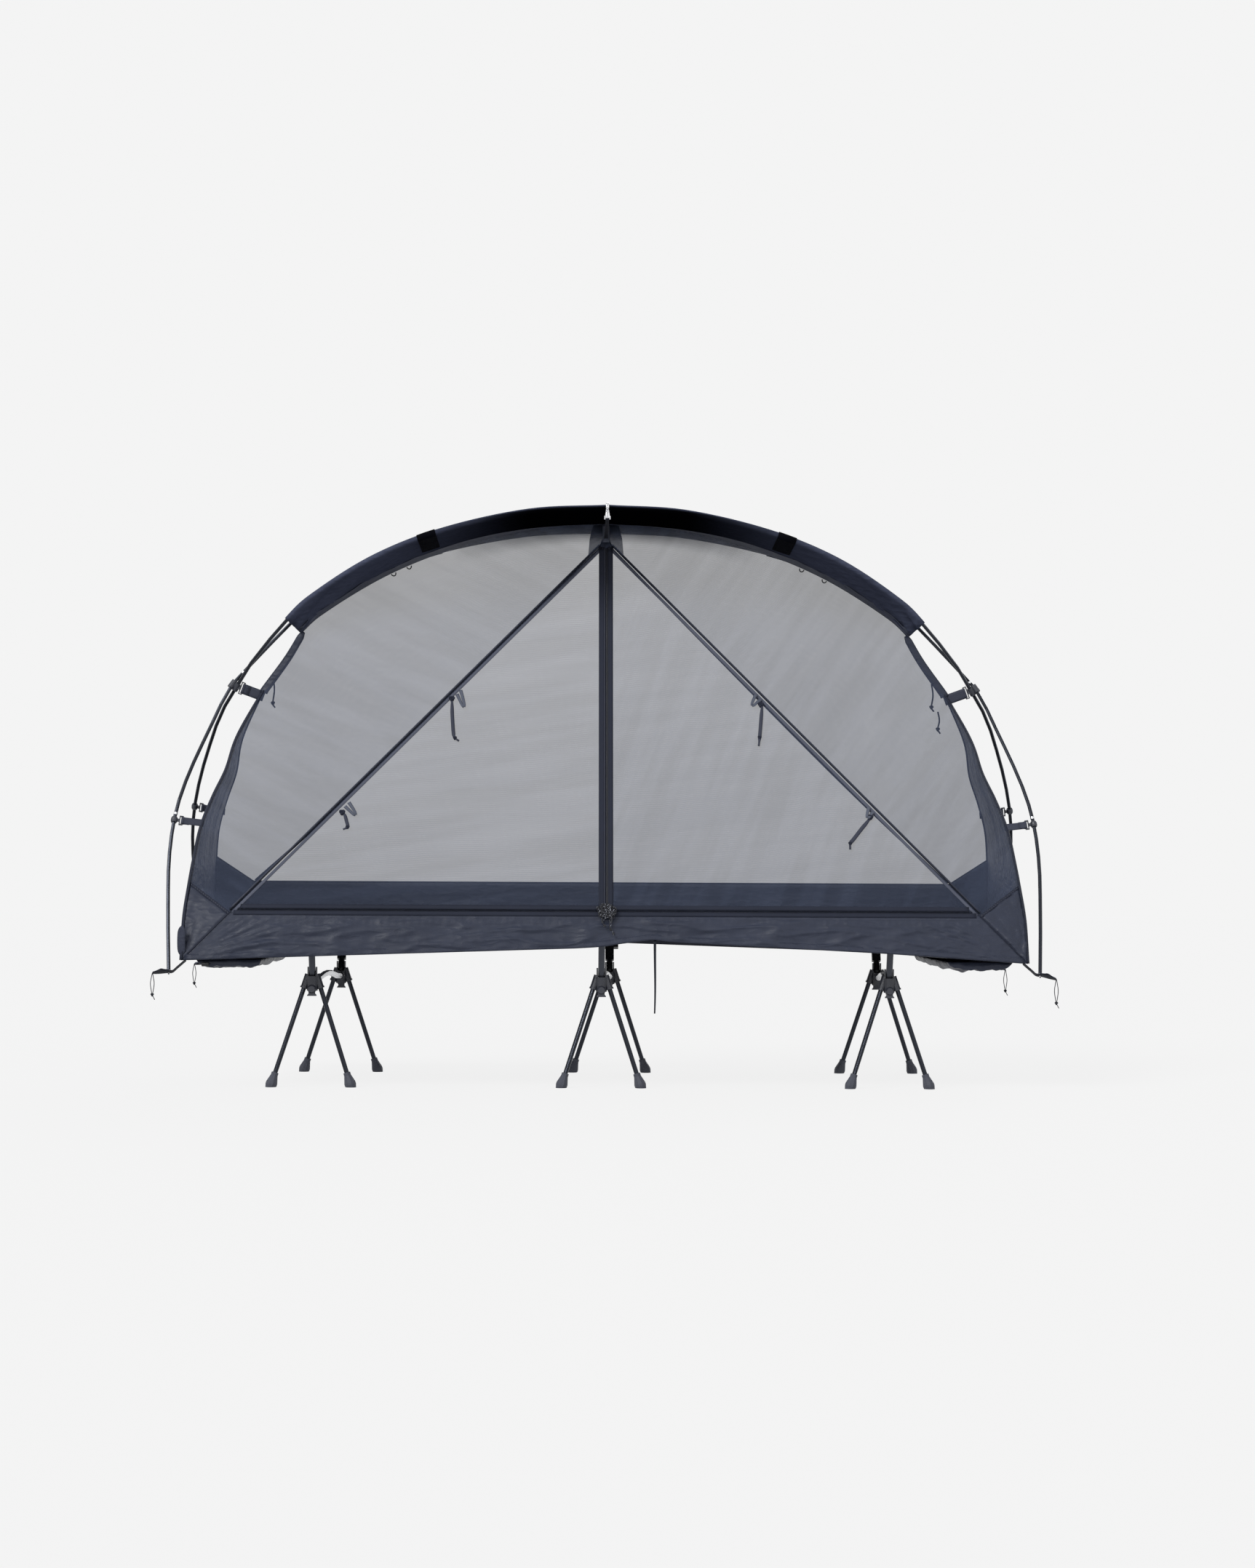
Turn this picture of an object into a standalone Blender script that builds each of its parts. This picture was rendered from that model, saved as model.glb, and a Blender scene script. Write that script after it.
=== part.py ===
"""A one-person mesh tent pitched on a raised camp cot, modelled as its separate pieces.

Units are metres. +X runs along the cot, +Z is up, and -Y is the side with the door.
The origin is on the floor, under the middle of the cot.
"""

import math

import bmesh
import bpy
from mathutils import Matrix, Vector

# Fits
WELD = 0.000001               # points this close are one
GAP = 0.0004                  # between pieces that seat on each other
OVERRUN = 0.002               # how far a cutter runs past what it cuts
MELT = 0.003                  # how far joined shapes run into each other

# The bed, which sets the length and the width of everything else
BED_HALF_LENGTH = 0.950
BED_HALF_WIDTH = 0.327         # to the side rails
RAIL_Z = 0.396
STATION_SHARE = 0.79421        # of the bed's half length, from the middle to an end station
STATION_SPACING = BED_HALF_LENGTH * STATION_SHARE
RACK_FRONT = 0.010            # the cot is racked: its front hubs stand this far to the left
RACK_REAR = 0.021             # and its rear hubs this far to the right
STATIONS = {"left": -1, "middle": 0, "right": 1}
SIDES = {"front": -1, "rear": 1}

# Hub
HUB_INSET = 0.042             # from the rail in to the hub
HUB_Y = BED_HALF_WIDTH - HUB_INSET
CUP_RADIUS = 0.0165
CUP_BOTTOM_Z = 0.250
CUP_RIM_Z = 0.2875
EAR_RADIUS = 0.0130
EAR_TOP_Z = 0.3118
SOCKET_RADIUS = 0.0092
SOCKET_LENGTH = 0.038
SOCKET_DEPTH = 0.024
SOCKET_MOUTH_X = 0.022
SOCKET_MOUTH_Z = 0.256
FLANGE_RADIUS = 0.0105
FLANGE_LENGTH = 0.0045
BOSS_RADIUS = 0.0115
BOSS_REACH = 0.0225
BOSS_Z = 0.2545
NOSE_WIDTH = 0.0235
NOSE_NECK_WIDTH = 0.0170
NOSE_HEIGHT = 0.0080
NOSE_DEPTH = 0.0120
NOSE_BOTTOM_Z = 0.2365
COLLAR_RADIUS = 0.0118
COLLAR_REACH = 0.040
PIN_RADIUS = 0.0025
PIN_Z = 0.290

# Legs and feet
LEG_RADIUS = 0.0061
FOOT_X = 0.105                # from the station to a foot, along the cot
FOOT_OUTSET = 0.020           # from the hub out to a foot
FOOT_Y = HUB_Y + FOOT_OUTSET
FOOT_LENGTH = 0.040
FOOT_TOP_RADIUS = 0.0092
FOOT_FLARE_RADIUS = 0.0150
FOOT_TREAD_RADIUS = 0.0118
FOOT_BORE_DEPTH = 0.027
FOOT_SIDES = 10

# Cross bar between the two hubs of a station
BAR_RADIUS = 0.0080
BAR_Z = 0.2715
BAR_ARCH = 0.016
BAR_SEAT_DEPTH = 0.028

# Side rails, and the tension levers that push them out
RAIL_RADIUS = 0.0080
RAIL_INSET = 0.006            # from the bed cloth's end in to the rail's
RAIL_HALF_LENGTH = BED_HALF_LENGTH - RAIL_INSET
LEVER_RADIUS = 0.0086
SADDLE_LENGTH = 0.049
SADDLE_THICKNESS = 0.0042
SADDLE_OUTER = 0.0070          # from the lever's axis to the saddle's outer edge
HORN_THICKNESS = 0.0034
HORN_HEIGHT = 0.0066
BLADE_WIDTH = 0.024           # of the rear levers above the hub
BLADE_DEPTH = 0.015
BLADE_START = 0.029
HEAD_HEIGHT = 0.041           # of the rear levers' heads

# Cot sheet
SHEET_THICKNESS = 0.0013
SHEET_WINDOW = 0.030          # half the bare length of rail at each lever

# Tent body
CLOTH = 0.0016
END_OVERHANG = 0.144          # from the bed's end out to the tent's corner
SIDE_OVERHANG = 0.058         # from the rail out to the tent's corner
CORNER_X = BED_HALF_LENGTH + END_OVERHANG
CORNER_Y = BED_HALF_WIDTH + SIDE_OVERHANG
HEM_DROP = 0.066              # from the rail down to the hem
HEM_Z = RAIL_Z - HEM_DROP
SILL_RISE = 0.065             # from the rail up to the doors' foot
THRESHOLD_Z = RAIL_Z + SILL_RISE
PEAK_DROP = 0.050             # from the seam at the middle down to the doors' peak
HEM_CROWN = 0.036             # how far the hem rises at the middle
END_LEAN = 0.164              # from the end wall's foot in to its peak
END_PEAK_X = CORNER_X - END_LEAN
END_PEAK_Z = 1.054
END_BOW = 0.020
HEM_FOLD = 0.012
HEM_SHARES = (-1.0, -0.072, -0.01, 0.043, 0.116, 0.151, 0.675, 1.0)
HEM_RISES = (0.0, 0.0345, 0.0386, 0.048, 0.058, 0.052, 0.0236, 0.0)
END_SHOULDER = 0.025          # how far the floor runs past the bed
SIDE_SHOULDER = 0.022
SHOULDER_X = BED_HALF_LENGTH + END_SHOULDER
SHOULDER_Y = BED_HALF_WIDTH + SIDE_SHOULDER

# Doors
SEAM_GAP = 0.0008
ZIP_GAP = 0.0010

# Pockets that slip over the cot's ends
POCKET_OVERLAP = 0.045
POCKET_INSET = 0.035
POCKET_INNER_X = BED_HALF_LENGTH - POCKET_OVERLAP
POCKET_HALF_WIDTH = CORNER_Y - POCKET_INSET
POCKET_DROP = 0.026

# Arch poles: how they rise, from the crown to the foot
POLE_RADIUS = 0.0048
CROWN_INSET = 0.135           # from the tent's corner in to the crown
CROWN_Y = CORNER_Y - CROWN_INSET
CROWN_Z = 1.527
CLIP_REACH = 0.0775           # from the end wall's peak out to the crossing
CLIP_RISE = 0.012
CLIP_X = END_PEAK_X + CLIP_REACH
CLIP_Z = END_PEAK_Z + CLIP_RISE
SLEEVE_END_INSET = 0.1455     # from the crossing in to the sleeve's end
SLEEVE_END_RISE = 0.175
SLEEVE_END_X = CLIP_X - SLEEVE_END_INSET
SLEEVE_END_Y = 0.052
SLEEVE_END_Z = CLIP_Z + SLEEVE_END_RISE
POLE_FOOT_OUTSET_X = 0.0287   # from the tent's corner out to a pole's foot
POLE_FOOT_OUTSET_Y = 0.015
POLE_FOOT_DROP = 0.027
POLE_FOOT_X = CORNER_X + POLE_FOOT_OUTSET_X
POLE_FOOT_Y = CORNER_Y + POLE_FOOT_OUTSET_Y
POLE_FOOT_Z = HEM_Z - POLE_FOOT_DROP
POLE_BULGE = 0.0233           # how far a pole bows out past its foot
POLE_WIDEST_X = POLE_FOOT_X + POLE_BULGE
POLE_WIDEST_Z = 0.610
CROSSING_LIFT = 0.0066        # each pole's shift out of the other's way at a crossing
CROSSING_REACH = 0.110
POLE_TIP_RADIUS = 0.0020
POLE_TIP_LENGTH = 0.009

# Ridge panel
PANEL_THICKNESS = 0.0016
SLEEVE_RADIUS = 0.0070
SEAM_DROP_CENTRE = 0.012      # from the poles down to the seam that carries the body
SEAM_DROP_END = 0.046

# Webbing and the clips on it
WEBBING = 0.0016
RING_STRAP_WIDTH = 0.020
CLIP_STRAP_WIDTH = 0.028
EYE_WALL = 0.0014
BUCKLE_BAR_RADIUS = 0.0016
BUCKLE_SIDE = 0.0026
BUCKLE_DEPTH = 0.0044
RING_RADIUS = 0.0090
RING_HEIGHT = 0.015
RING_Z = {"front": 0.696, "rear": 0.741}
NECK_WIDTH = 0.0075
NECK_THICKNESS = 0.0052
BUCKLE_OPENING = 0.0030
RING_TO_BAR = 0.0220
CLIP_TO_BAR = 0.0255
CORNER_STRAP_WIDTH = 0.016
GROMMET_RADIUS = 0.0028
STRAP_TAIL = 0.030

# Peak hook and its strap
HOOK_WIRE = 0.0019
HOOK_SHANK = 0.021
HOOK_LEAN = 0.003
PEAK_STRAP_WIDTH = 0.010
HOOK_BAR = 0.0026
HOOK_SLOT = 0.0062

# Zip sliders
SLIDER_WIDTH = 0.0092
SLIDER_LENGTH = 0.0130
SLIDER_THICKNESS = 0.0050
PULL_LENGTH = 0.030
PULL_RADIUS = 0.0016

# The loose tape
TAPE_WIDTH = 0.0070
TAPE_THICKNESS = 0.0012
TAPE_X = 0.127
TAPE_LENGTH = 0.190
TAPE_BEND = 0.002

# Facets
ROUND = 16
POLE_SPAN_STEPS = 3
SEAM_STEPS = 10
PANEL_COLUMNS = 2
PANEL_SHARES = (-1.0, -0.5, 0.0, 0.5, 1.0)
TAPE_STEPS = 10
HOOK_STEPS = 10
SLOT_STEPS = 6
BALL_STEPS = 4
HUB_ROUND = 12


def clear_scene():
    for old in list(bpy.data.objects):
        bpy.data.objects.remove(old, do_unlink=True)


def new_collection(name):
    made = bpy.data.collections.new(name)
    bpy.context.scene.collection.children.link(made)
    return made


def material(name, colour, roughness, metallic=0.0):
    made = bpy.data.materials.new(name)
    made.use_nodes = True
    shader = made.node_tree.nodes["Principled BSDF"]
    shader.inputs["Base Color"].default_value = (*colour, 1.0)
    shader.inputs["Roughness"].default_value = roughness
    shader.inputs["Metallic"].default_value = metallic
    return made


def add(name, data, finish=None, collection=None):
    """A new object for this data, in the part's collection unless told otherwise."""
    made = bpy.data.objects.new(name, data)
    (collection or PART).objects.link(made)
    if finish is not None and not data.materials:
        data.materials.append(finish)
    return made


def mesh_from(name, bm):
    bmesh.ops.recalc_face_normals(bm, faces=bm.faces)
    data = bpy.data.meshes.new(name)
    bm.to_mesh(data)
    bm.free()
    return data


def smooth(data):
    data.shade_smooth()
    data.set_sharp_from_angle(angle=math.radians(40))
    return data


def evaluated_mesh(obj):
    """The object's mesh with its modifiers, in world space, its caps welded and its faces facing out."""
    graph = bpy.context.evaluated_depsgraph_get()
    graph.update()
    data = bpy.data.meshes.new_from_object(obj.evaluated_get(graph), depsgraph=graph)
    data.transform(obj.matrix_world)
    bm = bmesh.new()
    bm.from_mesh(data)
    bmesh.ops.remove_doubles(bm, verts=bm.verts, dist=WELD)
    bmesh.ops.recalc_face_normals(bm, faces=bm.faces)
    bm.to_mesh(data)
    bm.free()
    return data


def combine(name, first, operation, *others):
    """The Boolean of a mesh with others, as one mesh."""
    target = add(name, first, collection=HELPERS)
    tools = []
    for other in others:
        tool = add(name + "_tool", other, collection=HELPERS)
        tools.append(tool)
        step = target.modifiers.new(operation, "BOOLEAN")
        step.operation = operation
        step.solver = "EXACT"
        step.object = tool
    bpy.context.view_layer.update()
    made = evaluated_mesh(target)
    for used in [target, *tools]:
        bpy.data.objects.remove(used, do_unlink=True)
    made.name = name
    return made


def union(name, first, *others):
    return combine(name, first, "UNION", *others)


def cut(name, first, *others):
    return combine(name, first, "DIFFERENCE", *others)


def frame_along(origin, along, side):
    """A matrix whose X runs along one direction and whose Z is as near as can be to another."""
    x = Vector(along).normalized()
    z = Vector(side)
    z = (z - x * z.dot(x)).normalized()
    y = z.cross(x)
    turn = Matrix((x, y, z)).transposed().to_4x4()
    return Matrix.Translation(origin) @ turn


def box(low, high):
    low, high = Vector(low), Vector(high)
    bm = bmesh.new()
    size = high - low
    place = Matrix.Translation((low + high) / 2) @ Matrix.Diagonal((*size, 1.0))
    bmesh.ops.create_cube(bm, size=1.0, matrix=place)
    return mesh_from("box", bm)


def bevelled(data, width, segments=2):
    obj = add("bevelled", data, collection=HELPERS)
    step = obj.modifiers.new("Bevel", "BEVEL")
    step.width = width
    step.segments = segments
    step.limit_method = "ANGLE"
    step.angle_limit = math.radians(35)
    bpy.context.view_layer.update()
    made = evaluated_mesh(obj)
    bpy.data.objects.remove(obj, do_unlink=True)
    return made


def rod(start, end, radius, end_radius=None, sides=ROUND):
    """A cylinder or a cone from one point to another."""
    start, end = Vector(start), Vector(end)
    bm = bmesh.new()
    length = (end - start).length
    bmesh.ops.create_cone(
        bm, cap_ends=True, segments=sides, radius1=radius,
        radius2=radius if end_radius is None else end_radius, depth=length,
    )
    turn = Vector((0, 0, 1)).rotation_difference(end - start).to_matrix().to_4x4()
    bmesh.ops.transform(bm, matrix=Matrix.Translation((start + end) / 2) @ turn, verts=bm.verts)
    return mesh_from("rod", bm)


def turned(profile, steps):
    """A solid of revolution about Z. The profile runs from the top down its outer side."""
    bm = bmesh.new()
    points = [bm.verts.new((radius, 0.0, height)) for radius, height in profile]
    for a, b in zip(points, points[1:]):
        bm.edges.new((a, b))
    data = bpy.data.meshes.new("profile")
    bm.to_mesh(data)
    bm.free()
    obj = add("turned", data, collection=HELPERS)
    step = obj.modifiers.new("Screw", "SCREW")
    step.steps = steps
    step.render_steps = steps
    step.use_merge_vertices = True
    step.merge_threshold = 0.00001
    bpy.context.view_layer.update()
    made = evaluated_mesh(obj)
    bpy.data.objects.remove(obj, do_unlink=True)
    return made


def tube_curve(name, points, radius, resolution=2, radii=None):
    """A round bar along a list of points, as a curve with a bevel."""
    curve = bpy.data.curves.new(name, "CURVE")
    curve.dimensions = "3D"
    curve.bevel_depth = radius
    curve.bevel_resolution = resolution
    curve.use_fill_caps = True
    spline = curve.splines.new("POLY")
    spline.points.add(len(points) - 1)
    for place, point in zip(spline.points, points):
        place.co = (*point, 1.0)
    if radii:
        for place, share in zip(spline.points, radii):
            place.radius = share
    return curve


def tube(name, points, radius, resolution=2, radii=None):
    """The same bar as a mesh, for joining and cutting."""
    obj = add(name, tube_curve(name, points, radius, resolution, radii), collection=HELPERS)
    bpy.context.view_layer.update()
    made = evaluated_mesh(obj)
    bpy.data.objects.remove(obj, do_unlink=True)
    return made


def outline(points, thickness, holes=()):
    """A flat outline in X and Y, with any holes, as a plate centred on Z."""
    curve = bpy.data.curves.new("outline", "CURVE")
    curve.dimensions = "2D"
    curve.fill_mode = "BOTH"
    curve.extrude = thickness / 2
    for ring in [points, *holes]:
        spline = curve.splines.new("POLY")
        spline.points.add(len(ring) - 1)
        for place, (x, y) in zip(spline.points, ring):
            place.co = (x, y, 0.0, 1.0)
        spline.use_cyclic_u = True
    obj = add("outline", curve, collection=HELPERS)
    bpy.context.view_layer.update()
    made = evaluated_mesh(obj)
    bpy.data.objects.remove(obj, do_unlink=True)
    return made


def through(points, steps):
    """Points of a smooth curve through the given ones, with so many steps to each span."""
    points = [Vector(point) for point in points]
    ends = [points[0] * 2 - points[1], *points, points[-1] * 2 - points[-2]]
    made = []
    for i in range(len(points) - 1):
        a, b, c, d = ends[i:i + 4]
        for step in range(steps):
            t = step / steps
            made.append(0.5 * (2 * b + (c - a) * t + (2 * a - 5 * b + 4 * c - d) * t ** 2
                               + (3 * b - a - 3 * c + d) * t ** 3))
    made.append(points[-1])
    return made


def flip(point, x=1, y=1):
    return Vector((point[0] * x, point[1] * y, point[2]))


def grid(bm, rows):
    """Quads between rows of points, left out where two rows meet."""
    made = [[bm.verts.new(point) for point in row] for row in rows]
    for lower, upper in zip(made, made[1:]):
        for j in range(len(lower) - 1):
            bm.faces.new((lower[j], lower[j + 1], upper[j + 1], upper[j]))


def thickened(bm, thickness, name, outward=None):
    """Cloth of even thickness, grown inwards from the surface, or away from the outward direction."""
    bmesh.ops.remove_doubles(bm, verts=bm.verts, dist=10 * WELD)
    bmesh.ops.dissolve_degenerate(bm, dist=WELD, edges=bm.edges)
    bmesh.ops.recalc_face_normals(bm, faces=bm.faces)
    if outward and sum(face.normal.dot(Vector(outward)) for face in bm.faces) < 0:
        bmesh.ops.reverse_faces(bm, faces=bm.faces)
    data = bpy.data.meshes.new(name)
    bm.to_mesh(data)
    bm.free()
    obj = add(name, data, collection=HELPERS)
    step = obj.modifiers.new("Solidify", "SOLIDIFY")
    step.thickness = thickness
    step.offset = -1.0
    step.use_even_offset = True
    step.use_quality_normals = True
    bpy.context.view_layer.update()
    made = evaluated_mesh(obj)
    bpy.data.objects.remove(obj, do_unlink=True)
    return made


# Legs and feet

def leg_line(side_x):
    """The floor point and the socket's mouth of a leg, from its station, on the front side."""
    floor = Vector((side_x * FOOT_X, -FOOT_Y, 0.0))
    mouth = Vector((side_x * SOCKET_MOUTH_X, -HUB_Y, SOCKET_MOUTH_Z))
    return floor, mouth


def leg_axis(side_x):
    floor, mouth = leg_line(side_x)
    return (mouth - floor).normalized()


def foot_mesh(side_x):
    """A flared rubber foot, bored for its leg and worn flat on the floor."""
    below = FOOT_TREAD_RADIUS / 2
    shoulder = FOOT_LENGTH * 0.30
    bore = LEG_RADIUS + GAP
    bore_bottom = FOOT_LENGTH - FOOT_BORE_DEPTH
    profile = [
        (bore, bore_bottom), (bore, FOOT_LENGTH),
        (FOOT_TOP_RADIUS, FOOT_LENGTH),
        (FOOT_TOP_RADIUS, FOOT_LENGTH * 0.80),
        (FOOT_FLARE_RADIUS, shoulder),
        (FOOT_FLARE_RADIUS, FOOT_LENGTH * 0.16),
        (FOOT_TREAD_RADIUS, -below), (0.0, -below),
    ]
    data = turned([(0.0, bore_bottom), *profile], FOOT_SIDES)
    floor, _ = leg_line(side_x)
    turn = Vector((0, 0, 1)).rotation_difference(leg_axis(side_x)).to_matrix().to_4x4()
    data.transform(Matrix.Translation(floor) @ turn)
    bm = bmesh.new()
    bm.from_mesh(data)
    whole = bm.verts[:] + bm.edges[:] + bm.faces[:]
    sliced = bmesh.ops.bisect_plane(
        bm, geom=whole, plane_co=(0, 0, 0), plane_no=(0, 0, -1), clear_outer=True,
    )
    rim = [item for item in sliced["geom_cut"] if isinstance(item, bmesh.types.BMEdge)]
    bmesh.ops.edgeloop_fill(bm, edges=rim)
    return smooth(mesh_from("foot", bm))


def leg_mesh(side_x):
    floor, mouth = leg_line(side_x)
    axis = leg_axis(side_x)
    start = floor + axis * (FOOT_LENGTH - FOOT_BORE_DEPTH + GAP)
    end = mouth + axis * (SOCKET_DEPTH - GAP)
    return smooth(rod(start, end, LEG_RADIUS))


# Hub

def slot_mesh(centre):
    """The space for a lever's foot: a round seat under the pin, open to the top and inwards."""
    radius = LEVER_RADIUS + 2 * GAP
    reach = CUP_RADIUS + OVERRUN
    top = EAR_TOP_Z + OVERRUN
    low = CUP_RIM_Z - MELT
    start = math.asin((CUP_RIM_Z - PIN_Z) / radius)
    end = math.asin((low - PIN_Z) / radius)
    first, last = math.pi - start, 2 * math.pi + end
    arc = [first + (last - first) * i / SLOT_STEPS for i in range(SLOT_STEPS + 1)]
    seat = [(radius * math.cos(angle), PIN_Z + radius * math.sin(angle)) for angle in arc]
    shape = [(-reach, CUP_RIM_Z), *seat, (reach, low), (reach, top), (-reach, top)]
    tool = outline(shape, 2 * (LEVER_RADIUS + GAP))
    turn = Matrix(((0, 0, 1, 0), (1, 0, 0, 0), (0, 1, 0, 0), (0, 0, 0, 1)))
    tool.transform(Matrix.Translation(centre) @ turn)
    return tool


def boss_mesh(place):
    """The rounded front of the hub."""
    data = turned([(0.0, BOSS_REACH), (BOSS_RADIUS * 0.72, BOSS_REACH),
                   (BOSS_RADIUS, BOSS_REACH * 0.75), (BOSS_RADIUS, -MELT), (0.0, -MELT)], HUB_ROUND)
    data.transform(Matrix.Translation(place) @ Matrix.Rotation(math.radians(90), 4, "X"))
    return data


def hub_mesh():
    """The moulded hub: a cup with two ears and a pin, two leg sockets, a collar and a nose."""
    centre = Vector((0, -HUB_Y, 0))

    def at(x, inward, z):
        return centre + Vector((x, inward, z))

    body = [
        rod(at(0, 0, CUP_BOTTOM_Z), at(0, 0, CUP_RIM_Z), CUP_RADIUS * 0.86, CUP_RADIUS,
            HUB_ROUND),
        rod(at(0, 0, CUP_RIM_Z - MELT), at(0, 0, EAR_TOP_Z), EAR_RADIUS, sides=HUB_ROUND),
        boss_mesh(at(0, 0, BOSS_Z)),
        rod(at(0, 0, BAR_Z), at(0, COLLAR_REACH, BAR_Z), COLLAR_RADIUS, sides=HUB_ROUND),
        nose_mesh(at(0, -BOSS_REACH / 2, NOSE_BOTTOM_Z)),
    ]
    for side_x in (-1, 1):
        _, mouth = leg_line(side_x)
        axis = leg_axis(side_x)
        body.append(rod(mouth + axis * (FLANGE_LENGTH - MELT / 2), mouth + axis * SOCKET_LENGTH,
                        SOCKET_RADIUS, sides=HUB_ROUND))
        body.append(rod(mouth, mouth + axis * FLANGE_LENGTH, FLANGE_RADIUS, sides=HUB_ROUND))
    tools = [
        slot_mesh(centre),
        rod(at(0, COLLAR_REACH + OVERRUN, BAR_Z), at(0, COLLAR_REACH - BAR_SEAT_DEPTH, BAR_Z),
            BAR_RADIUS + GAP),
    ]
    for side_x in (-1, 1):
        _, mouth = leg_line(side_x)
        axis = leg_axis(side_x)
        tools.append(rod(mouth - axis * OVERRUN, mouth + axis * SOCKET_DEPTH, LEG_RADIUS + GAP))
    made = cut("hub", union("hub", body[0], *body[1:]), *tools)
    pin_end = EAR_RADIUS * 0.80
    return smooth(union("hub", made, rod(at(-pin_end, 0, PIN_Z), at(pin_end, 0, PIN_Z),
                                         PIN_RADIUS, sides=ROUND // 2)))


def nose_mesh(foot):
    """The flared tab under the boss."""
    half, neck = NOSE_WIDTH / 2, NOSE_NECK_WIDTH / 2
    shape = [(-half, 0), (half, 0), (half, NOSE_HEIGHT * 0.3), (neck, NOSE_HEIGHT * 0.75),
             (neck, NOSE_HEIGHT * 1.5), (-neck, NOSE_HEIGHT * 1.5), (-neck, NOSE_HEIGHT * 0.75),
             (-half, NOSE_HEIGHT * 0.3)]
    plate = outline(shape, NOSE_DEPTH)
    plate.transform(Matrix.Translation(foot) @ Matrix.Rotation(math.radians(90), 4, "X"))
    return plate


# Levers, cross bars and rails

def station_x(station, side_y):
    """Where a station's front or rear hub stands along the cot."""
    return STATIONS[station] * STATION_SPACING + (-RACK_FRONT if side_y < 0 else RACK_REAR)


def lever_axis():
    """From the hub's pin to the rail, on the front side."""
    return Vector((0, HUB_Y - BED_HALF_WIDTH, RAIL_Z - PIN_Z))


def lever_mesh(rear):
    """A tension lever with a rounded lower end and a saddle that pushes the rail out.

    The rear ones are wider above the hub and have a deep head.
    """
    pin = Vector((0, -HUB_Y, PIN_Z))
    along = lever_axis()
    reach = along.length - RAIL_RADIUS - GAP
    place = frame_along(pin, along, (1, 0, 0))
    half = SADDLE_LENGTH / 2
    inner = RAIL_RADIUS + GAP
    head = HEAD_HEIGHT if rear else SADDLE_THICKNESS
    arc = [math.pi / 2 * i / BALL_STEPS for i in range(BALL_STEPS + 1)]
    shank = turned([(0.0, reach - head / 2), (LEVER_RADIUS, reach - head / 2),
                    *[(LEVER_RADIUS * math.cos(angle), -LEVER_RADIUS * math.sin(angle))
                      for angle in arc]], ROUND)
    shank.transform(Matrix.Rotation(math.radians(90), 4, "Y"))
    pieces = [
        box((reach - head, -inner - HORN_THICKNESS, -half), (reach, SADDLE_OUTER, half)),
        box((reach - MELT / 2, -inner - HORN_THICKNESS, -half),
            (reach + HORN_HEIGHT, -inner, half)),
    ]
    if rear:
        pieces.append(box((BLADE_START, -BLADE_DEPTH / 2, -BLADE_WIDTH / 2),
                          (reach - head + MELT, BLADE_DEPTH / 2, BLADE_WIDTH / 2)))
    bore = rod((0, 0, -LEVER_RADIUS - OVERRUN), (0, 0, LEVER_RADIUS + OVERRUN),
               PIN_RADIUS + GAP, sides=ROUND // 2)
    made = cut("lever", union("lever", shank, *pieces), bore)
    made.transform(place)
    return smooth(made)


def cross_bar_points():
    """From one hub's seat to the other, rising a little in the middle and skewed with the cot."""
    end = HUB_Y - (COLLAR_REACH - BAR_SEAT_DEPTH) - GAP
    straight = HUB_Y - COLLAR_REACH - OVERRUN
    made = [Vector((-RACK_FRONT, -end, BAR_Z))]
    spans = 8
    for i in range(spans + 1):
        t = -1 + 2 * i / spans
        skew = (RACK_REAR - RACK_FRONT + (RACK_REAR + RACK_FRONT) * t) / 2
        made.append(Vector((skew, straight * t, BAR_Z + BAR_ARCH * (1 - t * t) ** 2)))
    made.append(Vector((RACK_REAR, end, BAR_Z)))
    return made


def sheet_mesh():
    """The cot's bed: cloth laid over both rails, with a sleeve round each and windows for the levers."""
    outer = RAIL_RADIUS + GAP + SHEET_THICKNESS
    top = RAIL_Z + outer
    made = box((-BED_HALF_LENGTH, -BED_HALF_WIDTH, top - SHEET_THICKNESS),
               (BED_HALF_LENGTH, BED_HALF_WIDTH, top))
    sleeves, tools = [], []
    for side_y in (-1, 1):
        ends = [(x, side_y * BED_HALF_WIDTH, RAIL_Z) for x in (-BED_HALF_LENGTH, BED_HALF_LENGTH)]
        sleeves.append(rod(*ends, outer))
        ends = [(x, side_y * BED_HALF_WIDTH, RAIL_Z)
                for x in (-BED_HALF_LENGTH - OVERRUN, BED_HALF_LENGTH + OVERRUN)]
        tools.append(rod(*ends, RAIL_RADIUS + GAP))
        for station in STATIONS:
            x = station_x(station, side_y)
            near = side_y * (BED_HALF_WIDTH - 2.2 * outer)
            far = side_y * (BED_HALF_WIDTH + 2 * outer)
            tools.append(box((x - SHEET_WINDOW, min(near, far), RAIL_Z - 2 * outer),
                             (x + SHEET_WINDOW, max(near, far), top + OVERRUN)))
    return cut("sheet", union("sheet", made, *sleeves), *tools)


# Poles

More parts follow.
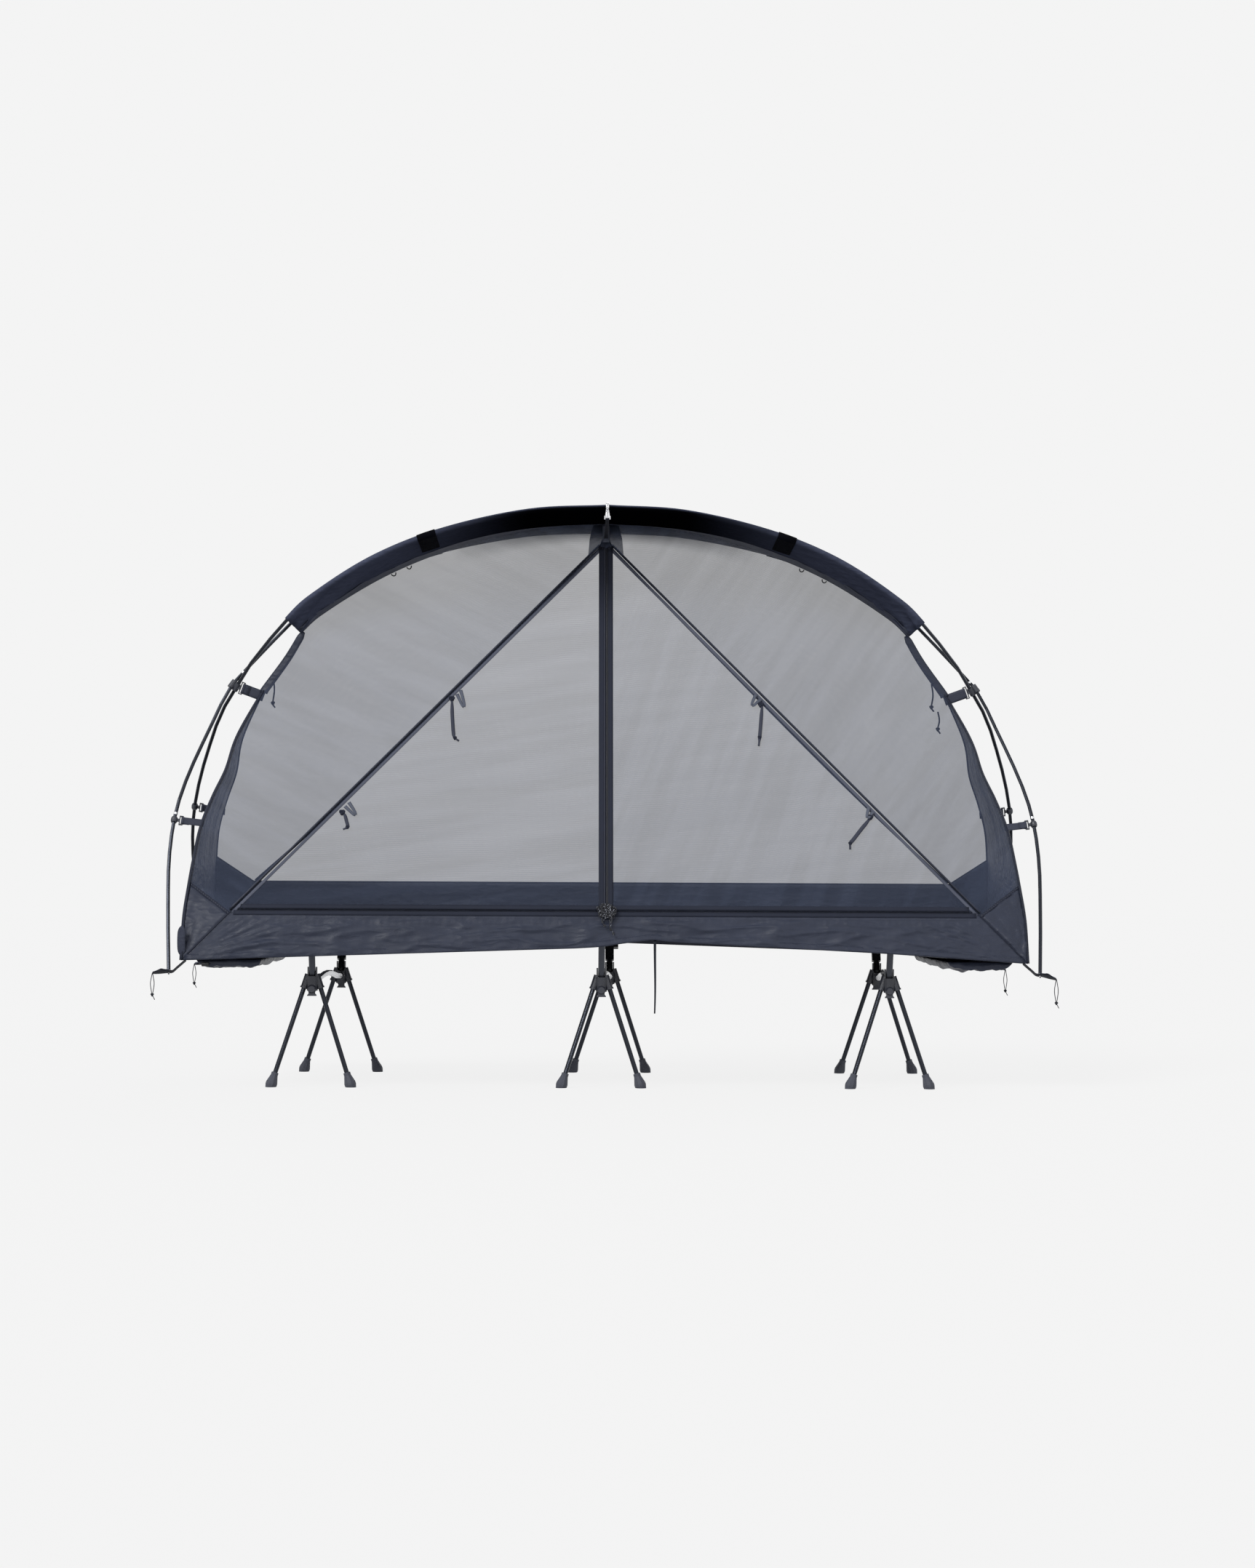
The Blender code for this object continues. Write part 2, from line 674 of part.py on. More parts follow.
def pole_knots():
    """Hand-picked places on one pole from its crown to its front foot: X, Y and Z."""
    rise = CROWN_Z - SLEEVE_END_Z
    drop = CLIP_Z - POLE_WIDEST_Z
    return [
        (0.0, CROWN_Y, CROWN_Z),
        (SLEEVE_END_X * 0.24, CROWN_Y * 0.965, CROWN_Z - rise * 0.037),
        (SLEEVE_END_X * 0.50, CROWN_Y * 0.820, CROWN_Z - rise * 0.198),
        (SLEEVE_END_X * 0.715, CROWN_Y * 0.610, CROWN_Z - rise * 0.430),
        (SLEEVE_END_X * 0.90, CROWN_Y * 0.340, CROWN_Z - rise * 0.745),
        (SLEEVE_END_X, SLEEVE_END_Y, SLEEVE_END_Z),
        (CLIP_X, 0.0, CLIP_Z),
        (CLIP_X + (POLE_WIDEST_X - CLIP_X) * 0.54, -POLE_FOOT_Y * 0.185, CLIP_Z - drop * 0.350),
        (CLIP_X + (POLE_WIDEST_X - CLIP_X) * 0.90, -POLE_FOOT_Y * 0.410, CLIP_Z - drop * 0.695),
        (POLE_WIDEST_X, -POLE_FOOT_Y * 0.590, POLE_WIDEST_Z),
        (POLE_FOOT_X + (POLE_WIDEST_X - POLE_FOOT_X) * 0.62, -POLE_FOOT_Y * 0.795,
         (POLE_WIDEST_Z + POLE_FOOT_Z) / 2),
        (POLE_FOOT_X, -POLE_FOOT_Y, POLE_FOOT_Z),
    ]


def half_pole(lift):
    """Points from the crown to the foot at +X, shifted out or in where the other pole crosses."""
    line = through(pole_knots(), POLE_SPAN_STEPS)
    made = []
    for i, point in enumerate(line):
        before, after = line[max(i - 1, 0)], line[min(i + 1, len(line) - 1)]
        run = after - before
        outward = Vector((-run.z, 0, run.x)).normalized()
        away = (point - Vector((CLIP_X, 0, CLIP_Z))).length / CROSSING_REACH
        share = max(0.0, 1 - away * away) ** 2
        made.append(point + outward * lift * share)
    return made


def pole_points(front_foot):
    """All of a pole, from one foot to the other, on the side given by front_foot."""
    lift = CROSSING_LIFT if front_foot else -CROSSING_LIFT
    turn = 1 if front_foot else -1
    right = [flip(point, 1, turn) for point in half_pole(lift)]
    left = [flip(point, -1) for point in right[1:]]
    return left[::-1] + right


def pole_curve(name, front_foot):
    line = pole_points(front_foot)
    share = POLE_TIP_RADIUS / POLE_RADIUS
    start = (line[0] - line[1]).normalized()
    end = (line[-1] - line[-2]).normalized()
    points = [line[0] + start * POLE_TIP_LENGTH, line[0] + start * GAP, *line,
              line[-1] + end * GAP, line[-1] + end * POLE_TIP_LENGTH]
    radii = [share, share, *([1.0] * len(line)), share, share]
    return tube_curve(name, points, POLE_RADIUS, 2, radii)


def pole_place(height, side_x, side_y):
    """The point and the direction of the pole in this corner, at a height, and its run there."""
    lift = CROSSING_LIFT if side_y < 0 else -CROSSING_LIFT
    line = [flip(point, side_x, -side_y) for point in half_pole(lift)]
    for i in range(1, len(line) - 2):
        upper, lower = line[i], line[i + 1]
        if lower.z <= height <= upper.z and abs(lower.x) > SLEEVE_END_X:
            t = (upper.z - height) / (upper.z - lower.z)
            return upper.lerp(lower, t), (lower - upper).normalized(), line[i - 1:i + 3]
    raise ValueError("no pole at this height")


# Ridge panel

def seam_drop(x):
    t = min(abs(x) / SLEEVE_END_X, 1.0)
    return SEAM_DROP_CENTRE + (SEAM_DROP_END - SEAM_DROP_CENTRE) * (3 * t * t - 2 * t ** 3)


def ridge_line():
    """The plain run of the pole over the sleeve, from end to end, with no crossing shift."""
    count = 5 * POLE_SPAN_STEPS
    right = through(pole_knots(), POLE_SPAN_STEPS)[:count + 1]
    left = [flip(point, -1) for point in right[1:]]
    return left[::-1] + right


def normal_in_xz(line, i):
    before, after = line[max(i - 1, 0)], line[min(i + 1, len(line) - 1)]
    run = after - before
    return Vector((-run.z, 0, run.x)).normalized()


def seam_points(extra=0.0):
    """The ridge seam under the panel, at Y = 0, from end to end."""
    line = ridge_line()
    made = []
    for i, point in enumerate(line):
        down = normal_in_xz(line, i) * -(seam_drop(point.x) + extra)
        made.append(Vector((point.x, 0, point.z)) + down)
    return made


def panel_mesh():
    """The ridge panel: cloth from one pole to the other, dipped to the seam, with a sleeve on each edge."""
    line, seam = ridge_line(), seam_points()
    bm = bmesh.new()
    rows = []
    for front, low in zip(line, seam):
        row = []
        for v in PANEL_SHARES:
            edge = flip(front, 1, 1 if v > 0 else -1)
            row.append(low.lerp(edge, abs(v)))
        rows.append(row)
    grid(bm, rows)
    cloth = thickened(bm, PANEL_THICKNESS, "panel", (0, 0, -1))
    front = [flip(point, 1, -1) for point in line]
    ends = []
    for path in (front, line):
        first = path[0] + (path[0] - path[1]).normalized() * OVERRUN
        last = path[-1] + (path[-1] - path[-2]).normalized() * OVERRUN
        ends.append([first, *path[1:-1], last])
    made = union("panel", cloth, tube("sleeve", front, SLEEVE_RADIUS),
                 tube("sleeve", line, SLEEVE_RADIUS))
    bore = POLE_RADIUS + GAP
    return smooth(cut("panel", made, tube("bore", ends[0], bore), tube("bore", ends[1], bore)))


# Tent body

def front_plane_y(z):
    """How far forward the front wall stands at a height."""
    peak = peak_point()
    t = (peak.z - z) / (peak.z - HEM_Z)
    return peak.y + (-CORNER_Y - peak.y) * t


def peak_point():
    """The doors' peak, a little below the middle of the ridge seam."""
    top = seam_points(GAP)[len(ridge_line()) // 2]
    slope = CORNER_Y / (top.z - HEM_Z)
    return Vector((0, -PEAK_DROP * slope, top.z - PEAK_DROP))


def edge_knots():
    """The end wall's front edge, from the end peak to the corner."""
    drop = END_PEAK_Z - HEM_Z
    out = CORNER_X - END_PEAK_X
    shares = [(0.0, 0.0, 0.0), (0.380, 0.150, 0.175), (0.520, 0.300, 0.303),
              (0.695, 0.395, 0.402), (0.855, 0.495, 0.512), (0.930, 0.610, 0.627),
              (0.975, 0.735, 0.735), (1.005, 0.865, 0.845), (1.0, 1.0, 1.0)]
    return [(END_PEAK_X + out * x, -CORNER_Y * y, END_PEAK_Z - drop * z) for x, y, z in shares]


def boundary_points():
    """The side panel's outer edge at +X, from the middle of the ridge to the front corner."""
    seam = seam_points(GAP)
    middle = len(seam) // 2
    half = seam[middle:]
    picked = [half[round(i * (len(half) - 1) / SEAM_STEPS)] for i in range(SEAM_STEPS + 1)]
    last = picked[-1]
    end = Vector(edge_knots()[0])
    waist = last.lerp(end, 0.45) + Vector((-END_BOW * 0.25, 0, 0))
    return [*picked, waist, *[Vector(point) for point in edge_knots()]]


def diagonal_points():
    """The seam from the doors' peak to the front corner, in step with the outer edge."""
    edge = boundary_points()
    count = len(edge) - 1
    lower = 2
    peak = peak_point()
    corner = Vector((CORNER_X, -CORNER_Y, HEM_Z))
    share = (peak.z - THRESHOLD_Z) / (peak.z - HEM_Z)
    lengths = [0.0]
    for a, b in zip(edge, edge[1:count - lower + 1]):
        lengths.append(lengths[-1] + (b - a).length)
    made = [peak.lerp(corner, share * length / lengths[-1]) for length in lengths]
    for i in range(1, lower + 1):
        made.append(peak.lerp(corner, share + (1 - share) * i / lower))
    return made


def threshold_index():
    return len(diagonal_points()) - 3


def hem_points(lifted=True):
    """The hem from the left corner to the right one, the front one drawn up at the loose tape."""
    made = []
    for share, rise in zip(HEM_SHARES, HEM_RISES):
        z = HEM_Z + (rise if lifted else HEM_CROWN * (1 - abs(share)))
        made.append(Vector((CORNER_X * share, front_plane_y(z), z)))
    return made


def end_points():
    """The foot of the end wall at +X, from the front corner to the rear one."""
    steps = 4
    made = []
    for i in range(steps + 1):
        t = -1 + 2 * i / steps
        made.append(Vector((CORNER_X - END_BOW * (1 - t * t), CORNER_Y * t, HEM_Z)))
    return made


def face(bm, points):
    bm.faces.new([bm.verts.new(point) for point in points])


def hem_loop():
    """The whole hem, once round, with the corners once each."""
    front = hem_points()
    right = end_points()
    rear = [flip(point, 1, -1) for point in hem_points(lifted=False)[::-1]]
    left = [flip(point, -1) for point in right[::-1]]
    return front[:-1] + right[:-1] + rear[:-1] + left[:-1]


def inset_loop(loop, share_x, share_y, height):
    return [Vector((point.x * share_x, point.y * share_y,
                    point.z if height is None else height)) for point in loop]


def body_shell():
    bm = bmesh.new()
    edge, diagonal = boundary_points(), diagonal_points()
    for side_x in (-1, 1):
        for side_y in (1, -1):
            rows = []
            for a, b in zip(edge, diagonal):
                row = [flip(a.lerp(b, v / PANEL_COLUMNS), side_x, side_y)
                       for v in range(PANEL_COLUMNS + 1)]
                rows.append(row)
            grid(bm, rows)
    end_edge = edge[-len(edge_knots()):]
    foot = end_points()
    for side_x in (-1, 1):
        rows = []
        for point in end_edge:
            share = abs(point.y) / CORNER_Y
            row = []
            for base in foot:
                t = base.y / CORNER_Y
                bow = END_BOW * (1 - t * t) * share
                row.append(Vector((side_x * (point.x - bow), abs(point.y) * t, point.z)))
            rows.append(row)
        grid(bm, rows)
    hem = hem_points()
    rear = [flip(point, 1, -1) for point in diagonal]
    rear_hem = [flip(point, 1, -1) for point in hem_points(lifted=False)[1:-1]]
    face(bm, [flip(point, -1) for point in rear] + rear_hem + rear[:0:-1])
    sill = diagonal[threshold_index():]
    face(bm, [flip(point, -1) for point in sill] + hem[1:-1] + sill[::-1])
    loop = hem_loop()
    fold_x = 1 - HEM_FOLD / CORNER_X
    fold_y = 1 - HEM_FOLD / CORNER_Y
    floor_z = bed_top()
    fold = inset_loop(loop, fold_x, fold_y, None)
    shoulder = inset_loop(loop, SHOULDER_X / CORNER_X, SHOULDER_Y / CORNER_Y, floor_z)
    for lower, upper in ((loop, fold), (fold, shoulder)):
        for i in range(len(loop)):
            j = (i + 1) % len(loop)
            face(bm, (lower[i], lower[j], upper[j], upper[i]))
    face(bm, shoulder)
    return thickened(bm, CLOTH, "tent_body")


def bed_top():
    """The underside of the tent's floor, which lies on the cot's sheet."""
    return RAIL_Z + RAIL_RADIUS + GAP + SHEET_THICKNESS + GAP


def pocket_mesh(side_x):
    """The cloth that slips under the cot's end, hung from the end hem."""
    bm = bmesh.new()
    rows = []
    spans, across = 5, 4
    for i in range(spans + 1):
        u = i / spans
        row = []
        for j in range(across + 1):
            v = -1 + 2 * j / across
            t = v * POCKET_HALF_WIDTH / CORNER_Y
            outer = CORNER_X - END_BOW * (1 - t * t) - HEM_FOLD / 2
            x = outer + (POCKET_INNER_X - outer) * u
            sag = math.sin(math.pi * u ** 0.85 * 0.93) * (1 - 0.2 * v ** 4)
            z = HEM_Z + CLOTH / 2 - POCKET_DROP * sag
            row.append(Vector((side_x * x, POCKET_HALF_WIDTH * v, z)))
        rows.append(row)
    grid(bm, rows)
    return thickened(bm, CLOTH, "pocket", (0, 0, -1))


def strap(start, end, width_along, width, start_eye=False, eye_bore=0.0):
    """Flat webbing from one point to another, with an eye round a bar at its start if asked."""
    start, end = Vector(start), Vector(end)
    along = end - start
    place = frame_along(start, along, width_along)
    half, thick = width / 2, WEBBING / 2
    begin = eye_bore + EYE_WALL / 2 if start_eye else 0.0
    made = box((begin, -thick, -half), (along.length, thick, half))
    if start_eye:
        made = union("strap", made, rod((0, 0, -half), (0, 0, half), eye_bore + EYE_WALL, sides=12))
        made = cut("strap", made, rod((0, 0, -half - OVERRUN), (0, 0, half + OVERRUN), eye_bore,
                                      sides=12))
    made.transform(place)
    return made


def strip(points, width_along, width):
    """Flat webbing folded along a line of points."""
    half = Vector(width_along).normalized() * width / 2
    bm = bmesh.new()
    grid(bm, [[point - half, point + half] for point in points])
    return thickened(bm, WEBBING, "strip", (0, 0, 1))


def body_edge_at(height, side_x, side_y):
    """The point of the end wall's edge at a height."""
    edge = [Vector(point) for point in edge_knots()]
    for upper, lower in zip(edge, edge[1:]):
        if lower.z <= height <= upper.z:
            t = (upper.z - height) / (upper.z - lower.z)
            return flip(upper.lerp(lower, t), side_x, -side_y)
    raise ValueError("no edge at this height")


def body_edge_across(point, along, side_x, side_y):
    """Where the end wall's edge passes the plane through this point, square to the pole."""
    edge = [flip(Vector(knot), side_x, -side_y) for knot in edge_knots()]
    for upper, lower in zip(edge, edge[1:]):
        a, b = (upper - point).dot(along), (lower - point).dot(along)
        if a <= 0 <= b:
            return upper.lerp(lower, a / (a - b))
    raise ValueError("the edge doesn't pass this plane")


def ring_frame(side_x, side_y):
    """A ring clip's own frame: X to the body, Z along the pole, origin on the pole."""
    height = RING_Z["front" if side_y < 0 else "rear"]
    place, along, _ = pole_place(height, side_x, side_y)
    target = body_edge_across(place, along, side_x, side_y)
    return frame_along(place, target - place, along), target


def clip_frame(side_x):
    """The crossing clip's own frame: X to the body, origin where the poles cross."""
    place = Vector((side_x * CLIP_X, 0, CLIP_Z))
    target = body_edge_at(END_PEAK_Z - CLIP_STRAP_WIDTH / 2, side_x, -1)
    target.y = 0
    towards = (target - place).normalized()
    return frame_along(place, towards, (0, 0, 1)), target


def corner_line(side_x, side_y):
    """The corner webbing's run: from inside the hem, down to the pole's tip, and on to its tail."""
    line = [flip(point, side_x, -side_y) for point in half_pole(0.0)]
    down = (line[-1] - line[-2]).normalized()
    seat = line[-1] + down * 2 * GAP
    start = Vector((side_x * (CORNER_X - HEM_FOLD), side_y * (CORNER_Y - HEM_FOLD * 0.8),
                    HEM_Z + CLOTH))
    out = Vector((side_x * 1.0, side_y * 0.35, 0)).normalized()
    return start, seat - out * CORNER_STRAP_WIDTH * 0.62, seat, seat + out * STRAP_TAIL, down


def body_mesh():
    made = body_shell()
    extras = [pocket_mesh(side_x) for side_x in (-1, 1)]
    cuts = []
    bore = BUCKLE_BAR_RADIUS + GAP
    for side_x in (-1, 1):
        place, target = clip_frame(side_x)
        bar = place @ Vector((CLIP_TO_BAR, 0, 0))
        inside = target + (target - bar).normalized() * MELT * 3
        extras.append(strap(bar, inside, (0, 0, 1), CLIP_STRAP_WIDTH, True, bore))
        for side_y in (-1, 1):
            place, target = ring_frame(side_x, side_y)
            bar = place @ Vector((RING_TO_BAR, 0, 0))
            side = place.to_3x3() @ Vector((0, 0, 1))
            inside = target + (target - bar).normalized() * MELT
            extras.append(strap(bar, inside, side, RING_STRAP_WIDTH, True, bore))
            start, knee, seat, tail, down = corner_line(side_x, side_y)
            level = (tail - seat).cross(down)
            extras.append(strip((start, knee, tail), level, CORNER_STRAP_WIDTH))
            cuts.append(rod(seat - down * MELT, seat + down * MELT, GROMMET_RADIUS, sides=12))
    peak = peak_point()
    eye = hook_eye()
    inside = peak + (peak - eye).normalized() * MELT + Vector((0, 0, MELT))
    extras.append(strap(eye, inside, (1, 0, 0), PEAK_STRAP_WIDTH, True, HOOK_BAR * 0.71 + GAP))
    return smooth(cut("tent_body", union("tent_body", made, *extras), *cuts))


# Doors and zips

def door_corners(side_x):
    """Base middle, base corner and peak of a door, drawn back from its seams."""
    peak = peak_point()
    corner = Vector((CORNER_X, -CORNER_Y, HEM_Z))
    run = corner - peak
    slope = run.x / -run.z
    sideways = SEAM_GAP * math.hypot(1.0, slope)
    base_z = THRESHOLD_Z + ZIP_GAP
    zip_x = ZIP_GAP / 2
    base_x = (peak.z - base_z) * slope - sideways
    peak_z = peak.z - (zip_x + sideways) / slope
    points = [(zip_x, base_z), (base_x, base_z), (zip_x, peak_z)]
    return [Vector((side_x * x, front_plane_y(z), z)) for x, z in points]


def wall_normal():
    """The front wall's outward direction."""
    run = front_plane_y(THRESHOLD_Z) - front_plane_y(HEM_Z)
    return Vector((0, HEM_Z - THRESHOLD_Z, run)).normalized()


def door_mesh(side_x):
    bm = bmesh.new()
    corners = door_corners(side_x)
    inwards = wall_normal() * -CLOTH
    outer = [bm.verts.new(point) for point in corners]
    inner = [bm.verts.new(point + inwards) for point in corners]
    bm.faces.new(outer)
    bm.faces.new(inner[::-1])
    for i in range(3):
        j = (i + 1) % 3
        bm.faces.new((outer[i], outer[j], inner[j], inner[i]))
    return mesh_from("door", bm)


def slider_mesh(place, along):
    """A zip slider on the wall's outer face, with its cord pull hanging from it."""
    normal = wall_normal()
    frame = frame_along(place + normal * (GAP + SLIDER_THICKNESS / 2), along, normal)
    half_l, half_w, half_t = SLIDER_LENGTH / 2, SLIDER_WIDTH / 2, SLIDER_THICKNESS / 2
    shape = bevelled(box((-half_l, -half_w, -half_t), (half_l, half_w, half_t)), half_t / 2, 1)
    shape.transform(frame)
    top = place + normal * (GAP + SLIDER_THICKNESS * 0.8)
    out = normal * SLIDER_THICKNESS
    drop = normal.cross(Vector((1, 0, 0)))
    drop = drop if drop.z < 0 else -drop
    line = [top, top + out * 0.8 + drop * PULL_LENGTH * 0.12,
            top + out + drop * PULL_LENGTH * 0.5, top + out * 0.9 + drop * PULL_LENGTH]
    return smooth(union("slider", shape, tube("pull", through(line, 3), PULL_RADIUS)))


# Clips and the hook

def buckle(from_x, bar_x, width):
    """A frame with a bar for webbing, in a clip's own frame, from the neck to the bar."""
    half = width / 2 + GAP * 2 + BUCKLE_SIDE
    inner = width / 2 + GAP * 2
    thick = BUCKLE_DEPTH / 2
    back = box((from_x, -thick, -half), (from_x + BUCKLE_SIDE, thick, half))
    arms = [box((from_x, -thick, sign * inner if sign > 0 else -half),
                (bar_x + BUCKLE_SIDE / 2, thick, half if sign > 0 else -inner))
            for sign in (-1, 1)]
    bar = rod((bar_x, 0, -half + MELT / 3), (bar_x, 0, half - MELT / 3), BUCKLE_BAR_RADIUS,
              sides=12)
    return union("buckle", back, *arms, bar)


def ring_clip_mesh(side_x, side_y):
    place, _ = ring_frame(side_x, side_y)
    height = RING_Z["front" if side_y < 0 else "rear"]
    eye = BUCKLE_BAR_RADIUS + GAP + EYE_WALL
    frame_x = RING_TO_BAR - eye - BUCKLE_OPENING - BUCKLE_SIDE
    ring = turned([(0.0, RING_HEIGHT / 2), (RING_RADIUS * 0.84, RING_HEIGHT / 2),
                   (RING_RADIUS, RING_HEIGHT * 0.22), (RING_RADIUS, -RING_HEIGHT * 0.22),
                   (RING_RADIUS * 0.84, -RING_HEIGHT / 2), (0.0, -RING_HEIGHT / 2)], ROUND)
    neck = box((RING_RADIUS * 0.5, -NECK_THICKNESS / 2, -NECK_WIDTH / 2),
               (frame_x + BUCKLE_SIDE / 2, NECK_THICKNESS / 2, NECK_WIDTH / 2))
    made = union("ring_clip", ring, neck, buckle(frame_x, RING_TO_BAR, RING_STRAP_WIDTH))
    made.transform(place)
    run = pole_place(height, side_x, side_y)[2]
    return smooth(cut("ring_clip", made, tube("bore", run, POLE_RADIUS + GAP)))


def crossing_directions(side_x):
    """The two poles' places and directions where they cross, front-footed pole first."""
    made = []
    for front_foot in (True, False):
        line = [p for p in pole_points(front_foot) if p.x * side_x > 0]
        near = min(range(1, len(line) - 1),
                   key=lambda i: (line[i] - Vector((side_x * CLIP_X, 0, CLIP_Z))).length)
        made.append((line[near], (line[near + 1] - line[near - 1]).normalized(),
                     line[near - 1:near + 2]))
    return made


def crossing_clip_mesh(side_x):
    """A moulded clip with a channel for each pole and a buckle for the wide strap."""
    place, _ = clip_frame(side_x)
    eye = BUCKLE_BAR_RADIUS + GAP + EYE_WALL
    frame_x = CLIP_TO_BAR - eye - BUCKLE_OPENING - BUCKLE_SIDE
    half = RING_HEIGHT * 0.75
    barrels, bores = [], []
    for centre, along, run in crossing_directions(side_x):
        barrels.append(rod(centre - along * half, centre + along * half, RING_RADIUS * 0.92))
        bores.append(tube("bore", run, POLE_RADIUS + GAP))
    neck = box((0, -NECK_WIDTH * 0.8, -NECK_WIDTH * 0.8),
               (frame_x + BUCKLE_SIDE / 2, NECK_WIDTH * 0.8, NECK_WIDTH * 0.8))
    neck = union("neck", neck, buckle(frame_x, CLIP_TO_BAR, CLIP_STRAP_WIDTH))
    neck.transform(place)
    made = union("crossing_clip", barrels[0], barrels[1], neck)
    return smooth(cut("crossing_clip", made, *bores))


def hook_top():
    """The crown of the pole that the hook goes over: the front one in the middle."""
    return Vector((0, -CROWN_Y, CROWN_Z))


def hook_reach():
    """From the pole's centre to the wire's, where the hook goes round the sleeve."""
    return SLEEVE_RADIUS + 2 * GAP + HOOK_WIRE


def hook_eye():
    """Where the peak strap's eye goes round the hook's lower wire."""
    return hook_top() + Vector((0, -HOOK_LEAN, -hook_reach() - HOOK_SHANK))


def hook_mesh():
    """A wire hook over the sleeve, open to the rear, with a slot for the strap at its foot."""
    centre = hook_top()
    points = []
    for i in range(HOOK_STEPS + 1):
        angle = math.radians(20 + 215 * i / HOOK_STEPS)
        points.append(centre + Vector((0, math.cos(angle), math.sin(angle))) * hook_reach())
    half = PEAK_STRAP_WIDTH / 2 + 2 * GAP
    edge = half + HOOK_BAR
    low, high = HOOK_BAR / 2, HOOK_BAR / 2 + HOOK_SLOT
    rim = [(-edge, -low), (edge, -low), (edge, high), (HOOK_BAR, high + HOOK_BAR),
           (-HOOK_BAR, high + HOOK_BAR), (-edge, high)]
    hole = [(-half, low), (half, low), (half, high - HOOK_BAR / 2), (-half, high - HOOK_BAR / 2)]
    plate = outline(rim, HOOK_BAR, [hole])
    eye = hook_eye()
    plate.transform(Matrix.Translation(eye) @ Matrix.Rotation(math.radians(90), 4, "X"))
    foot = eye + Vector((0, 0, high + HOOK_BAR / 3))
    return smooth(union("hook", tube("wire", [*points, foot], HOOK_WIRE), plate))


def tape_mesh():
    """The loose end of webbing that hangs from the hem, with a slow bend."""
    top_z = HEM_Z + max(HEM_RISES) - 3 * GAP
    bm = bmesh.new()
    rows = []
    for i in range(TAPE_STEPS + 1):
        u = i / TAPE_STEPS
        centre = Vector((TAPE_X + TAPE_BEND * math.sin(math.pi * u) * u,
                         front_plane_y(top_z) + CLOTH + TAPE_BEND * math.sin(2 * math.pi * u),
                         top_z - TAPE_LENGTH * u))
        half = TAPE_WIDTH / 2 * (1 - 0.45 * u)
        rows.append([centre + Vector((-half, 0, 0)), centre + Vector((half, 0, 0))])
    grid(bm, rows)
    return smooth(thickened(bm, TAPE_THICKNESS, "tape", (0, -1, 0)))


# Assembly

clear_scene()
PART = new_collection("tent_cot")
HELPERS = new_collection("helpers")
HELPERS.hide_render = True

anodised = material("anodised_tube", (0.030, 0.032, 0.038), 0.35, 0.8)
silver = material("bare_tube", (0.62, 0.63, 0.65), 0.30, 1.0)
moulded = material("moulded_black", (0.050, 0.053, 0.062), 0.55)
rubber = material("rubber_foot", (0.075, 0.078, 0.092), 0.70)
bed_cloth = material("bed_cloth", (0.035, 0.037, 0.045), 0.80)
ridge_cloth = material("ridge_cloth", (0.020, 0.022, 0.034), 0.60)
tent_cloth = material("tent_cloth", (0.080, 0.084, 0.105), 0.70)
mesh_cloth = material("mesh_cloth", (0.280, 0.290, 0.320), 0.80)
bright = material("bright_steel", (0.70, 0.70, 0.72), 0.20, 1.0)
zip_metal = material("zip_slider", (0.020, 0.022, 0.028), 0.45)
tape_black = material("black_tape", (0.010, 0.011, 0.014), 0.70)

hub = hub_mesh()
levers = {"front": lever_mesh(rear=False), "rear": lever_mesh(rear=True)}
legs = {side_x: leg_mesh(side_x) for side_x in (-1, 1)}
feet = {side_x: foot_mesh(side_x) for side_x in (-1, 1)}

for station, step in STATIONS.items():
    middle = Vector((step * STATION_SPACING, 0, 0))
    bar_curve = tube_curve("cross_bar", [point + middle for point in cross_bar_points()],
                           BAR_RADIUS, 3)
    add("cross_bar_" + station, bar_curve, silver)
    for side, side_y in SIDES.items():
        turn = Matrix.Rotation(0 if side_y < 0 else math.pi, 4, "Z")
        place = Matrix.Translation((station_x(station, side_y), 0, 0)) @ turn
        lever_finish = anodised if side == "front" else moulded
        for name, data, finish in (("hub", hub, moulded), ("lever", levers[side], lever_finish)):
            made = add(f"{name}_{station}_{side}", data, finish)
            made.matrix_world = place
        for hand, side_x in (("left", -1), ("right", 1)):
            local = side_x if side_y < 0 else -side_x
            for name, data, finish in (("leg", legs[local], anodised), ("foot", feet[local], rubber)):
                made = add(f"{name}_{station}_{side}_{hand}", data, finish)
                made.matrix_world = place

for side, side_y in SIDES.items():
    ends = [(x, side_y * BED_HALF_WIDTH, RAIL_Z) for x in (-RAIL_HALF_LENGTH, RAIL_HALF_LENGTH)]
    rail = rod(*ends, RAIL_RADIUS)
    add("side_rail_" + side, smooth(rail), anodised)
add("cot_sheet", sheet_mesh(), bed_cloth)

add("pole_front_footed", pole_curve("pole_front_footed", True), anodised)
add("pole_rear_footed", pole_curve("pole_rear_footed", False), anodised)
add("ridge_panel", panel_mesh(), ridge_cloth)
add("tent_body", body_mesh(), tent_cloth)
for side, side_x in (("left", -1), ("right", 1)):
    add("door_" + side, door_mesh(side_x), mesh_cloth)
    add("crossing_clip_" + side, crossing_clip_mesh(side_x), moulded)
    for name, side_y in SIDES.items():
        add(f"ring_clip_{side}_{name}", ring_clip_mesh(side_x, side_y), moulded)
add("peak_hook", hook_mesh(), bright)

base = door_corners(1)[0]
upward = (door_corners(1)[2] - base).normalized()
zip_place = base + upward * SLIDER_LENGTH + Vector((SLIDER_WIDTH / 2 + GAP, 0, 0))
add("slider_vertical", slider_mesh(zip_place, upward), zip_metal)
for side, side_x in (("left", -1), ("right", 1)):
    low = THRESHOLD_Z - GAP - SLIDER_WIDTH / 2
    place = Vector((side_x * (SLIDER_LENGTH * 0.8), front_plane_y(low), low))
    add("slider_" + side, slider_mesh(place, Vector((side_x, 0, 0))), zip_metal)

add("hanging_tape", tape_mesh(), tape_black)

bpy.context.view_layer.update()
